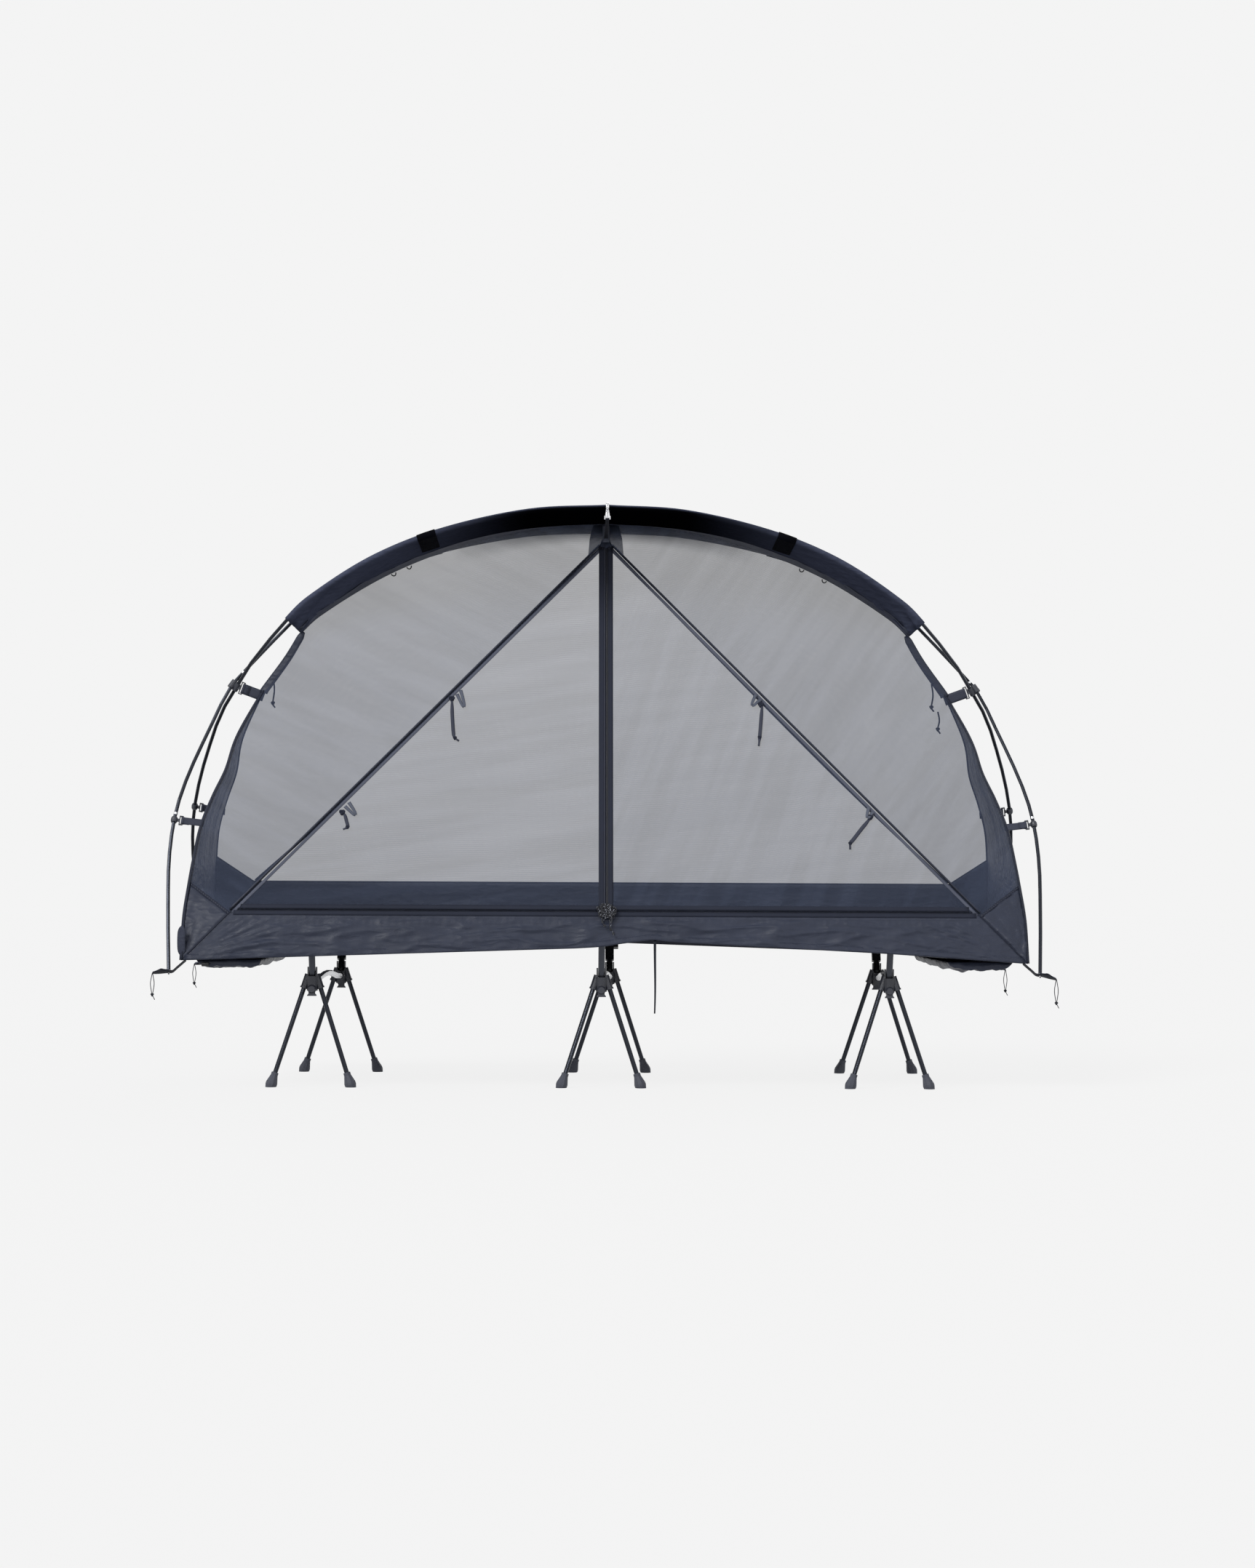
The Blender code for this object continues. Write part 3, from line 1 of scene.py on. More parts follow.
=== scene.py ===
"""The looks of a one-person mesh tent pitched on a raised camp cot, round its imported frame.

Units are metres, in the frame's own axes: +X along the cot, +Z up, -Y the side with the door.
"""

import bisect
import math
import random

import bmesh
import bpy
from mathutils import Matrix, Vector, noise


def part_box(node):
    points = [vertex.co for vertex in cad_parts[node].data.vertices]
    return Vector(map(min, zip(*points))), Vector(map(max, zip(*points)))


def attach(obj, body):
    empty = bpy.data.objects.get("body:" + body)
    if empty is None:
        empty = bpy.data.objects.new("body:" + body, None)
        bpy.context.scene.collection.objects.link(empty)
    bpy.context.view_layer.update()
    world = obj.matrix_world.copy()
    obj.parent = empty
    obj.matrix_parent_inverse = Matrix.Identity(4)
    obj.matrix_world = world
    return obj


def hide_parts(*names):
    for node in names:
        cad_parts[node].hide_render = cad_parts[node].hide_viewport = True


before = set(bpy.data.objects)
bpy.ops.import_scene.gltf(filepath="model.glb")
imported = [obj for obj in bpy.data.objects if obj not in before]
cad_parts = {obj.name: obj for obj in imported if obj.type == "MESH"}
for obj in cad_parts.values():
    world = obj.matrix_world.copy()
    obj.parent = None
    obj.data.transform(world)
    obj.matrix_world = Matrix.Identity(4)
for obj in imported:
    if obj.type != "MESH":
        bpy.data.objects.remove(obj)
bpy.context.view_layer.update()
ROOT = "frame_and_tent"
DOORS = {-1: "door_left", 1: "door_right"}
SIDES = {-1: "left", 1: "right"}
ENDS = {-1: "front", 1: "rear"}

# Sizes of the part that the soft pieces follow
GAP = 0.0004
BED_X, BED_Y = 0.950, 0.327
RAIL_Z = 0.396
RAIL_RADIUS = 0.0080
STATION = 0.7545
CORNER_X, CORNER_Y, HEM_Z = 1.094, 0.385, 0.330
THRESHOLD_Z = 0.461
PEAK_DROP = 0.050
HEM_CROWN = 0.036
END_PEAK_X, END_PEAK_Z = 0.930, 1.054
END_BOW = 0.020
HEM_FOLD = 0.012
HEM_SHARES = (-1.0, -0.072, -0.01, 0.043, 0.116, 0.151, 0.675, 1.0)
HEM_RISES = (0.0, 0.0345, 0.0386, 0.048, 0.058, 0.052, 0.0236, 0.0)
SHOULDER_X, SHOULDER_Y = 0.975, 0.349
POCKET_INNER_X, POCKET_DROP, POCKET_HALF_WIDTH = 0.905, 0.026, 0.350
POLE_RADIUS = 0.0048
CROWN_Y, CROWN_Z = 0.250, 1.527
CLIP_X, CLIP_Z = 1.0075, 1.066
SLEEVE_END_X, SLEEVE_END_Y, SLEEVE_END_Z = 0.862, 0.052, 1.241
POLE_FOOT_X, POLE_FOOT_Y, POLE_FOOT_Z = 1.1227, 0.400, 0.303
POLE_WIDEST_X, POLE_WIDEST_Z = 1.146, 0.610
CROSSING_LIFT, CROSSING_REACH = 0.0066, 0.110
SLEEVE_RADIUS = 0.0070
SEAM_DROP_CENTRE, SEAM_DROP_END = 0.012, 0.046
RING_Z = {-1: 0.696, 1: 0.741}
RING_TO_BAR, CLIP_TO_BAR = 0.0220, 0.0255
RING_STRAP_WIDTH, CLIP_STRAP_WIDTH, CORNER_STRAP_WIDTH = 0.020, 0.028, 0.016
STRAP_TAIL = 0.030
HOOK_WIRE, HOOK_SHANK, HOOK_LEAN = 0.0019, 0.021, 0.003
PEAK_STRAP_WIDTH = 0.010
TAPE_X, TAPE_LENGTH, TAPE_BEND, TAPE_WIDTH = 0.127, 0.190, 0.002, 0.0070

# Thicknesses of the cloth and of a sewn tape, and how far a tape's middle stands off the cloth
CLOTH, TAPE, SEWN = 0.0006, 0.0007, 0.0010

# What the photograph adds to those
SEAM_FRONT_EDGE_Z, SEAM_FRONT_DIAGONAL_Z = 0.530, 0.4515   # where the opaque front corner starts
SEAM_REAR_EDGE_Z = 0.602
REAR_TUB_Z, REAR_TUB_X = 0.532, 0.985
REAR_BENDS = {-1: ((0.618, 0.870), (0.815, 0.681)), 1: ((0.613, 0.872),)}


# Lines and surfaces

def flip(point, x=1, y=1):
    return Vector((point[0] * x, point[1] * y, point[2]))


def flips(points, x=1, y=1):
    return [flip(point, x, y) for point in points]


def through(points, steps):
    """Points of a smooth curve through the given ones."""
    points = [Vector(point) for point in points]
    ends = [points[0] * 2 - points[1], *points, points[-1] * 2 - points[-2]]
    made = []
    for i in range(len(points) - 1):
        a, b, c, d = ends[i:i + 4]
        for step in range(steps):
            t = step / steps
            made.append(0.5 * (2 * b + (c - a) * t + (2 * a - 5 * b + 4 * c - d) * t ** 2
                               + (3 * b - a - 3 * c + d) * t ** 3))
    made.append(points[-1])
    return made


class Run:
    """A line of points, read at any share of its length."""

    def __init__(self, points):
        self.points = [Vector(point) for point in points]
        self.marks = [0.0]
        for a, b in zip(self.points, self.points[1:]):
            self.marks.append(self.marks[-1] + (b - a).length)
        self.length = self.marks[-1]

    def at(self, share):
        target = min(max(share, 0.0), 1.0) * self.length
        i = min(max(bisect.bisect_right(self.marks, target), 1), len(self.marks) - 1)
        a, b = self.marks[i - 1], self.marks[i]
        return self.points[i - 1].lerp(self.points[i], 0.0 if b <= a else (target - a) / (b - a))

    def tangent(self, share):
        reach = 0.004 / self.length
        return (self.at(share + reach) - self.at(share - reach)).normalized()

    def share_at_height(self, z):
        """Where the line, which falls, passes a height."""
        for i in range(len(self.points) - 1):
            a, b = self.points[i].z, self.points[i + 1].z
            if b <= z <= a:
                t = 0.0 if a == b else (a - z) / (a - b)
                return (self.marks[i] + (self.marks[i + 1] - self.marks[i]) * t) / self.length
        raise ValueError("the line doesn't pass this height")

    def part(self, start, end, count):
        return [self.at(start + (end - start) * i / count) for i in range(count + 1)]


def smoothstep(t):
    t = min(max(t, 0.0), 1.0)
    return t * t * (3 - 2 * t)


def bend_out(line, i):
    """Which way a line bulges in the XZ plane, at one of its points."""
    run = line[min(i + 1, len(line) - 1)] - line[max(i - 1, 0)]
    return Vector((-run.z, 0, run.x)).normalized()


def pole_knots():
    rise, drop, out = CROWN_Z - SLEEVE_END_Z, CLIP_Z - POLE_WIDEST_Z, POLE_WIDEST_X - CLIP_X
    return [
        *((SLEEVE_END_X * x, CROWN_Y * y, CROWN_Z - rise * z) for x, y, z in (
            (0.0, 1.0, 0.0), (0.24, 0.965, 0.037), (0.50, 0.820, 0.198), (0.715, 0.610, 0.430),
            (0.90, 0.340, 0.745))),
        (SLEEVE_END_X, SLEEVE_END_Y, SLEEVE_END_Z),
        *((CLIP_X + out * x, -POLE_FOOT_Y * y, CLIP_Z - drop * z) for x, y, z in (
            (0.0, 0.0, 0.0), (0.54, 0.185, 0.350), (0.90, 0.410, 0.695), (1.0, 0.590, 1.0))),
        (POLE_FOOT_X + (POLE_WIDEST_X - POLE_FOOT_X) * 0.62, -POLE_FOOT_Y * 0.795,
         (POLE_WIDEST_Z + POLE_FOOT_Z) / 2),
        (POLE_FOOT_X, -POLE_FOOT_Y, POLE_FOOT_Z),
    ]


def half_pole(lift):
    """Points from the crown to the foot at +X, shifted where the other pole crosses."""
    line = through(pole_knots(), 3)
    made = []
    for i, point in enumerate(line):
        away = (point - Vector((CLIP_X, 0, CLIP_Z))).length / CROSSING_REACH
        made.append(point + bend_out(line, i) * lift * max(0.0, 1 - away * away) ** 2)
    return made


def pole_place(height, side_x, side_y):
    """The point and the direction of the pole in this corner, at a height."""
    line = flips(half_pole(-side_y * CROSSING_LIFT), side_x, -side_y)
    for i in range(1, len(line) - 2):
        upper, lower = line[i], line[i + 1]
        if lower.z <= height <= upper.z and abs(lower.x) > SLEEVE_END_X:
            t = (upper.z - height) / (upper.z - lower.z)
            return upper.lerp(lower, t), (lower - upper).normalized()
    raise ValueError("no pole at this height")


def seam_drop(x):
    return SEAM_DROP_CENTRE + ((SEAM_DROP_END - SEAM_DROP_CENTRE)
                               * smoothstep(abs(x) / SLEEVE_END_X))


def ridge_line(steps):
    right = through(pole_knots(), steps)[:5 * steps + 1]
    return flips(right[:0:-1], -1) + right


def ridge_seam(extra, steps=3):
    line = ridge_line(steps)
    return [Vector((point.x, 0, point.z)) - bend_out(line, i) * (seam_drop(point.x) + extra)
            for i, point in enumerate(line)]


SEAM_TOP = max(point.z for point in ridge_seam(GAP))
PEAK = Vector((0, -PEAK_DROP * CORNER_Y / (SEAM_TOP - HEM_Z), SEAM_TOP - PEAK_DROP))
CORNER = Vector((CORNER_X, -CORNER_Y, HEM_Z))


def wall_y(z):
    """How far forward the front wall stands at a height."""
    return PEAK.y + (-CORNER_Y - PEAK.y) * (PEAK.z - z) / (PEAK.z - HEM_Z)


WALL_NORMAL = Vector((0, HEM_Z - THRESHOLD_Z, wall_y(THRESHOLD_Z) - wall_y(HEM_Z))).normalized()
BACK_NORMAL = flip(WALL_NORMAL, 1, -1)


def on_wall(x, z, lift=0.0):
    return Vector((x, wall_y(z), z)) + WALL_NORMAL * lift


def wall_line(start, end, count):
    """Even places on the front wall, from one x and z to another."""
    (x, z), (far_x, far_z) = start, end
    return [on_wall(x + (far_x - x) * i / count, z + (far_z - z) * i / count)
            for i in range(count + 1)]


def edge_knots():
    drop, out = END_PEAK_Z - HEM_Z, CORNER_X - END_PEAK_X
    shares = [(0.0, 0.0, 0.0), (0.380, 0.150, 0.175), (0.520, 0.300, 0.303),
              (0.695, 0.395, 0.402), (0.855, 0.495, 0.512), (0.930, 0.610, 0.627),
              (0.975, 0.735, 0.735), (1.005, 0.865, 0.845), (1.0, 1.0, 1.0)]
    return [Vector((END_PEAK_X + out * x, -CORNER_Y * y, END_PEAK_Z - drop * z))
            for x, y, z in shares]


EDGE = Run(through(edge_knots(), 6))
SEAM_HALF = ridge_seam(GAP, 6)[5 * 6:]
WAIST = SEAM_HALF[-1].lerp(EDGE.at(0), 0.45) + Vector((-END_BOW * 0.25, 0, 0))
BOUNDARY = Run([*SEAM_HALF, *through([SEAM_HALF[-1], WAIST, EDGE.at(0)], 5)[1:], *EDGE.points[1:]])
SEAM_SHARE = Run(SEAM_HALF).length / BOUNDARY.length
DIAGONAL = Run([PEAK, CORNER])
REAR_TUB_CORNER = on_wall(REAR_TUB_X, REAR_TUB_Z)
REAR_DIAGONALS = {side_x: Run(through([PEAK, *(on_wall(x, z) for x, z in bends),
                                       REAR_TUB_CORNER], 20))
                  for side_x, bends in REAR_BENDS.items()}


def hem_rise(share, lifted):
    """How far the hem stands above its corners at a place along it, from -1 to 1."""
    if not lifted:
        return HEM_CROWN * (1 - abs(share))
    total = 0.0
    for k in range(-4, 5):
        place = min(max(share + 0.004 * k, -1.0), 0.9999)
        i = bisect.bisect_right(HEM_SHARES, place) - 1
        t = (place - HEM_SHARES[i]) / (HEM_SHARES[i + 1] - HEM_SHARES[i])
        total += HEM_RISES[i] + (HEM_RISES[i + 1] - HEM_RISES[i]) * t
    return total / 9


def hem_line(lifted):
    shares = [-1 + 2 * i / 240 for i in range(241)]
    return [on_wall(CORNER_X * share, HEM_Z + hem_rise(share, lifted)) for share in shares]


FRONT_HEM = Run(hem_line(True))
REAR_HEM = Run(flips(hem_line(False), 1, -1))


def frame_along(origin, along, side):
    x = Vector(along).normalized()
    z = Vector(side)
    z = (z - x * z.dot(x)).normalized()
    turn = Matrix((x, z.cross(x), z)).transposed().to_4x4()
    return Matrix.Translation(origin) @ turn


def edge_across(point, along, side_x, side_y):
    """Where the end wall's edge passes the plane through this point, square to the pole."""
    edge = flips(edge_knots(), side_x, -side_y)
    for upper, lower in zip(edge, edge[1:]):
        a, b = (upper - point).dot(along), (lower - point).dot(along)
        if a <= 0 <= b:
            return upper.lerp(lower, a / (a - b))
    raise ValueError("the edge doesn't pass this plane")


# Materials

class Nodes:
    """Short calls for the nodes of one tree."""

    def __init__(self, tree):
        self.tree = tree
        self.shader = tree.nodes.get("Principled BSDF")

    def node(self, kind, inputs, **settings):
        made = self.tree.nodes.new("ShaderNode" + kind)
        for key, value in settings.items():
            setattr(made, key, value)
        for key, value in inputs.items():
            if isinstance(value, bpy.types.NodeSocket):
                self.tree.links.new(value, made.inputs[key])
            else:
                made.inputs[key].default_value = value
        return made.outputs

    def place(self):
        return self.node("TexCoord", {})["Object"]

    def normal(self):
        return self.node("NewGeometry", {})["True Normal"]

    def split(self, vector):
        parts = self.node("SeparateXYZ", {0: vector})
        return parts[0], parts[1], parts[2]

    def maths(self, operation, a, b=0.0, clamp=False):
        return self.node("Math", {0: a, 1: b}, operation=operation, use_clamp=clamp)[0]

    def add(self, a, b, clamp=False):
        return self.maths("ADD", a, b, clamp)

    def times(self, a, b):
        return self.maths("MULTIPLY", a, b)

    def size(self, value):
        return self.maths("ABSOLUTE", value)

    def most(self, a, *others):
        for other in others:
            a = self.maths("MAXIMUM", a, other)
        return a

    def ranged(self, value, low, high, to_low=0.0, to_high=1.0, kind="LINEAR"):
        return self.node("MapRange", {"Value": value, "From Min": low, "From Max": high,
                                      "To Min": to_low, "To Max": to_high},
                         interpolation_type=kind)[0]

    def waves(self, place, pitch, axes="XYZ"):
        """Fine bands across each axis, one value each."""
        scale = 2 * math.pi / 20 / pitch
        return [self.node("TexWave", {"Vector": place, "Scale": scale}, wave_type="BANDS",
                          bands_direction=axis)["Fac"] for axis in axes]

    def blotches(self, place, scale, detail=3.0, roughness=0.55):
        return self.node("TexNoise", {"Vector": place, "Scale": scale, "Detail": detail,
                                      "Roughness": roughness})["Fac"]

    def blend(self, share, a, b, how="MIX"):
        """Two colours mixed, each a socket or a tuple."""
        a, b = ((*side, 1.0) if isinstance(side, tuple) else side for side in (a, b))
        return self.node("Mix", {"Factor": share, 6: a, 7: b}, data_type="RGBA",
                         blend_type=how)[2]

    def finish(self, colour, gloss=None, height=None, strength=1.0):
        """Links the shader's colour, roughness and bump."""
        links = {"Base Color": colour, "Roughness": gloss}
        if height is not None:
            links["Normal"] = self.node("Bump", {"Height": height, "Distance": 1.0,
                                                 "Strength": strength})["Normal"]
        for key, value in links.items():
            if value is not None:
                self.tree.links.new(value, self.shader.inputs[key])


def material(name, roughness, metallic=0.0, **fixed):
    made = bpy.data.materials.new(name)
    made.use_nodes = True
    n = Nodes(made.node_tree)
    for key, value in {"Roughness": roughness, "Metallic": metallic, **fixed}.items():
        n.shader.inputs[key.replace("_", " ")].default_value = value
    return made, n


def shade(colour, share):
    return tuple(min(1.0, channel * share) for channel in colour)


# Weaves: the threads' pitch and depth
THIN, FINE, BOUND, WEBBED = ((0.0006, 0.00003), (0.0004, 0.00002), (0.0008, 0.00006),
                             (0.0013, 0.00018))


def woven(name, colour, weave, roughness, crease=0.0, crumple=0.0, specular=0.22, sheen=0.02):
    """Close-woven cloth: threads as bump, faint blotches in colour and gloss, and small creases."""
    made, n = material(name, roughness, Sheen_Weight=sheen, Sheen_Roughness=0.4,
                       Specular_IOR_Level=specular)
    place = n.place()
    x, y, z = n.waves(place, weave[0])
    threads = n.times(n.add(n.add(x, y), z), 0.333)
    fine = n.blotches(place, 60.0, 4.0)
    mixed = n.add(n.times(n.blotches(place, 5.0), 0.6), n.times(fine, 0.4))
    hue = n.blend(n.ranged(mixed, 0.3, 0.7), shade(colour, 0.86), shade(colour, 1.14))
    height = n.times(threads, weave[1])
    if crease:
        height = n.add(height, n.times(n.blotches(place, 14.0, 5.0, 0.6), crease))
    if crumple:
        # Sharp small creases, as thin coated cloth keeps
        drawn = n.node("Mapping", {"Vector": place, "Scale": (0.55, 1.0, 1.5)})[0]
        for scale, share in ((12.0, 0.7), (31.0, 0.45)):
            bent = n.size(n.maths("SUBTRACT", n.blotches(drawn, scale, 1.0), 0.5))
            height = n.maths("SUBTRACT", height, n.times(bent, crumple * share))
    n.finish(n.blend(1.0, hue, n.blend(threads, (0.86,) * 3, (1.06,) * 3), "MULTIPLY"),
             n.ranged(fine, 0.3, 0.7, roughness - 0.06, roughness + 0.08), height)
    return made


NET_COLOUR = (0.076, 0.093, 0.146)
NET_PITCH = 0.0010


def netting(name, open_share, solid_share, lean=0.0):
    """Fine knitted mesh that lets light through, with soft streaks where it's pulled tight, painted
    lighter and darker as light and shade on its folds.
    """
    made, n = material("netting_" + name, 0.75, Specular_IOR_Level=0.08)
    place = n.place()
    knit = n.most(*n.waves(place, NET_PITCH))
    turned = n.node("VectorRotate", {"Vector": place, "Angle": lean}, rotation_type="Y_AXIS")[0]
    pulled = n.node("Mapping", {"Vector": turned, "Scale": (2.2, 6.0, 26.0)})[0]
    # Partly painted light: the fold streaks shift the cover a little, as the mesh's folds do, and
    # paint its colour lighter and darker, as light and shade on them.
    folds = n.add(n.ranged(n.blotches(place, 3.0), 0.3, 0.7, -0.4, 0.4),
                  n.ranged(n.blotches(pulled, 1.0, 4.0, 0.5), 0.38, 0.62, -0.7, 0.7))
    cover = n.add(n.ranged(knit, 0.0, 1.0, open_share, solid_share), n.times(folds, -0.017))
    # Less cover, so lighter, towards the top. More cover, so darker, in a band just under the ridge
    # seam's middle, fading out towards the ends.
    x, y, z = n.split(place)
    cover = n.add(cover, n.ranged(z, 0.55, 1.45, 0.006, -0.055))
    fall = n.add(z, n.times(n.times(x, x), 0.40))
    denser_band_under_seam = n.times(n.ranged(fall, 1.455, 1.512, kind="SMOOTHSTEP"),
                       n.ranged(n.size(x), 0.12, 0.42, 0.42, 0.0))
    n.tree.links.new(n.add(cover, denser_band_under_seam, True), n.shader.inputs["Alpha"])
    n.finish(n.blend(n.add(folds, 0.5, True), shade(NET_COLOUR, 0.88), shade(NET_COLOUR, 1.14)),
             height=n.times(knit, 0.0002), strength=0.6)
    return made


def moulded_plastic(name, colour, roughness, grain=0.00006):
    made, n = material(name, roughness)
    place = n.place()
    patches = n.blotches(place, 25.0)
    n.finish(n.blend(n.ranged(patches, 0.3, 0.7), shade(colour, 0.85), shade(colour, 1.2)),
             n.ranged(patches, 0.3, 0.7, roughness - 0.07, roughness + 0.10),
             n.times(n.blotches(place, 900.0, 2.0), grain), 0.8)
    return made


def tube_metal(name, colour, roughness, metallic):
    """Drawn tube: a faint grain, fine scuffs, and worn patches a little lighter."""
    made, n = material(name, roughness, metallic)
    place = n.place()
    grain = n.blotches(place, 260.0)
    worn = n.ranged(n.blotches(place, 40.0, 5.0, 0.7), 0.62, 0.74)
    gloss = n.ranged(grain, 0.3, 0.7, roughness - 0.05, roughness + 0.06)
    n.finish(n.blend(worn, shade(colour, 0.92), shade(colour, 1.35)),
             n.add(gloss, n.times(worn, 0.10)), n.times(grain, 0.00003), 0.5)
    return made


NYLON = woven("nylon", (0.030, 0.036, 0.059), THIN, 0.44, 0.0014, 0.012, 0.24)
FLOOR_NYLON = woven("floor_nylon", (0.036, 0.040, 0.062), THIN, 0.55, 0.0010)
TUB_NYLON = woven("tub_nylon", (0.050, 0.055, 0.074), THIN, 0.50, 0.0012, 0.016)
SLEEVE_NYLON = woven("sleeve_nylon", (0.050, 0.056, 0.082), THIN, 0.55, 0.0010, 0.010, 0.10)
STRIP_NYLON = woven("strip_nylon", (0.085, 0.094, 0.130), THIN, 0.55, 0.0010)
RIDGE_NYLON = woven("ridge_nylon", (0.072, 0.082, 0.128), THIN, 0.60, 0.0010, 0.014, 0.0, 0.0)
BINDING = woven("binding", (0.026, 0.030, 0.047), BOUND, 0.65, specular=0.10)
PIPING = woven("piping", (0.004, 0.005, 0.009), BOUND, 0.60, specular=0.12)
WEBBING_FINISH = woven("webbing", (0.042, 0.047, 0.070), WEBBED, 0.62)
GREY_WEBBING = woven("grey_webbing", (0.100, 0.112, 0.150), WEBBED, 0.62)
BLACK_WEBBING = woven("black_webbing", (0.012, 0.014, 0.022), (0.0012, 0.00016), 0.65)
BED_CLOTH = woven("bed_cloth", (0.026, 0.028, 0.040), BOUND, 0.70)
THREAD = woven("thread", (0.100, 0.108, 0.140), FINE, 0.6)
DARK_THREAD = woven("dark_thread", (0.014, 0.016, 0.026), FINE, 0.6)
HOOK_AND_LOOP = woven("hook_and_loop", (0.0025, 0.0028, 0.005), (0.0009, 0.00035), 0.95,
                      specular=0.05, sheen=0.0)
CORD = woven("cord", (0.020, 0.022, 0.030), (0.0006, 0.00012), 0.55)

# Painted light: in its middle, the rear half's underside is lightened towards pale grey. This
# stands in for light that comes through the thin cloth from above.
n = Nodes(SLEEVE_NYLON.node_tree)
x, y, z = n.split(n.place())
glow = n.times(n.ranged(n.split(n.normal())[2], -0.5, -0.1, 1.0, 0.0),
               n.times(n.ranged(n.size(x), 0.15, 0.40, 1.0, 0.0),
                       n.ranged(y, 0.0, 0.11, 0.15, 1.0)))
hue = n.shader.inputs["Base Color"].links[0].from_socket
n.finish(n.blend(glow, hue, (0.62, 0.64, 0.70)))

# Painted shade: the ridge cloth is darkened to near black towards its middle, where its underside
# lies in shadow. Where it faces upwards it is kept lighter, as painted top light.
n = Nodes(RIDGE_NYLON.node_tree)
along = n.size(n.split(n.place())[0])
share = n.most(n.ranged(along, 0.20, 0.62, 0.014, 1.0, "SMOOTHSTEP"),
               n.ranged(n.split(n.normal())[2], 0.2, 0.8, 0.0, 0.9))
painted_shade_factor = n.node("CombineXYZ", {"X": share, "Y": share, "Z": share})[0]
hue = n.shader.inputs["Base Color"].links[0].from_socket
n.finish(n.blend(1.0, hue, painted_shade_factor, "MULTIPLY"))

# The panels differ in cover and in streak direction. The left door's lower cover makes it lighter
# than the right door, a painted light from the left.
NET, NET_LEFT, NET_RIGHT, NET_DOOR_LEFT, NET_DOOR_RIGHT = (
    netting(name, cover, cover + 0.28, lean)
    for name, cover, lean in (("level", 0.20, 0.15), ("left", 0.225, -0.45),
                              ("right", 0.235, 0.95), ("door_left", 0.160, 0.15),
                              ("door_right", 0.205, 1.2)))
NET_DOUBLED = netting("doubled", 0.48, 0.66)
FLECK, n = material("cord_fleck", 0.5)
place = n.place()
spots = n.ranged(n.blotches(place, 300.0, 1.0), 0.62, 0.66)
n.finish(n.blend(spots, (0.003, 0.004, 0.009), (0.36, 0.38, 0.44)),
         height=n.times(n.waves(place, 0.0012, "Z")[0], 0.0002), strength=0.8)
MOULDED = moulded_plastic("moulded", (0.030, 0.033, 0.045), 0.40)
BLACK_MOULDED = moulded_plastic("black_moulded", (0.0035, 0.004, 0.006), 0.42)
RUBBER = moulded_plastic("rubber", (0.056, 0.060, 0.080), 0.68, 0.00012)
COIL = moulded_plastic("zip_coil", (0.010, 0.012, 0.020), 0.38)
ZIP_METAL = tube_metal("zip_metal", (0.030, 0.032, 0.036), 0.36, 0.7)
ANODISED = tube_metal("anodised", (0.020, 0.023, 0.031), 0.26, 0.80)
POST = tube_metal("anodised_post", (0.050, 0.055, 0.070), 0.36, 0.60)
BARE_TUBE = tube_metal("bare_tube", (0.74, 0.75, 0.77), 0.28, 1.0)
BRIGHT = tube_metal("bright_steel", (0.74, 0.74, 0.76), 0.14, 1.0)

CAD_FINISHES = {
    "leg_": ANODISED, "pole_": ANODISED, "side_rail": ANODISED, "cross_bar": BARE_TUBE,
    "hub_": MOULDED, "foot_": RUBBER, "crossing_clip": MOULDED, "ring_clip": MOULDED,
    "peak_hook": BRIGHT, "slider": ZIP_METAL,
}
for name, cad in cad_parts.items():
    finish = next((m for key, m in CAD_FINISHES.items() if name.startswith(key)), None)
    if name.startswith("lever_"):
        finish = POST if name.endswith("front") else BLACK_MOULDED
    if finish is not None:
        cad.data.materials.clear()
        cad.data.materials.append(finish)
        cad.data.shade_smooth()
        cad.data.set_sharp_from_angle(angle=math.radians(38))


# Pieces

def linked(name, data):
    made = bpy.data.objects.new(name, data)
    bpy.context.scene.collection.objects.link(made)
    return made


def piece(name, data, finish, body):
    made = linked(name, data)
    data.materials.append(finish)
    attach(made, body)
    return made


def mesh_of(name, bm):
    data = bpy.data.meshes.new(name)
    bm.to_mesh(data)
    bm.free()
    return data


def thicken(made, thickness, offset):
    step = made.modifiers.new("Solidify", "SOLIDIFY")
    step.thickness, step.offset, step.use_even_offset = thickness, offset, False


def pinned(u, v, reach=0.12):
    """How free a point of a panel is to move: nothing at its edges, all of it in the middle."""
    return smoothstep(min(u, 1 - u) / reach) * smoothstep(min(v, 1 - v) / reach)


def normals_of(rows):
    last, end = len(rows) - 1, len(rows[0]) - 1

    def normal(i, j):
        down = rows[min(i + 1, last)][j] - rows[max(i - 1, 0)][j]
        up = down.cross(rows[i][min(j + 1, end)] - rows[i][max(j - 1, 0)])
        return up.normalized() if up.length > 1e-12 else None

    made = [[normal(i, j) for j in range(end + 1)] for i in range(last + 1)]
    for i, line in enumerate(made):
        for j in range(end + 1):
            if line[j] is None:
                near = [made[a][b] for a in (max(i - 1, 0), min(i + 1, last))
                        for b in (max(j - 1, 0), min(j + 1, end)) if made[a][b] is not None]
                line[j] = near[0] if near else Vector((0, 0, 1))
    return made


CUTS = {}     # each cloth's width, length and area as cut


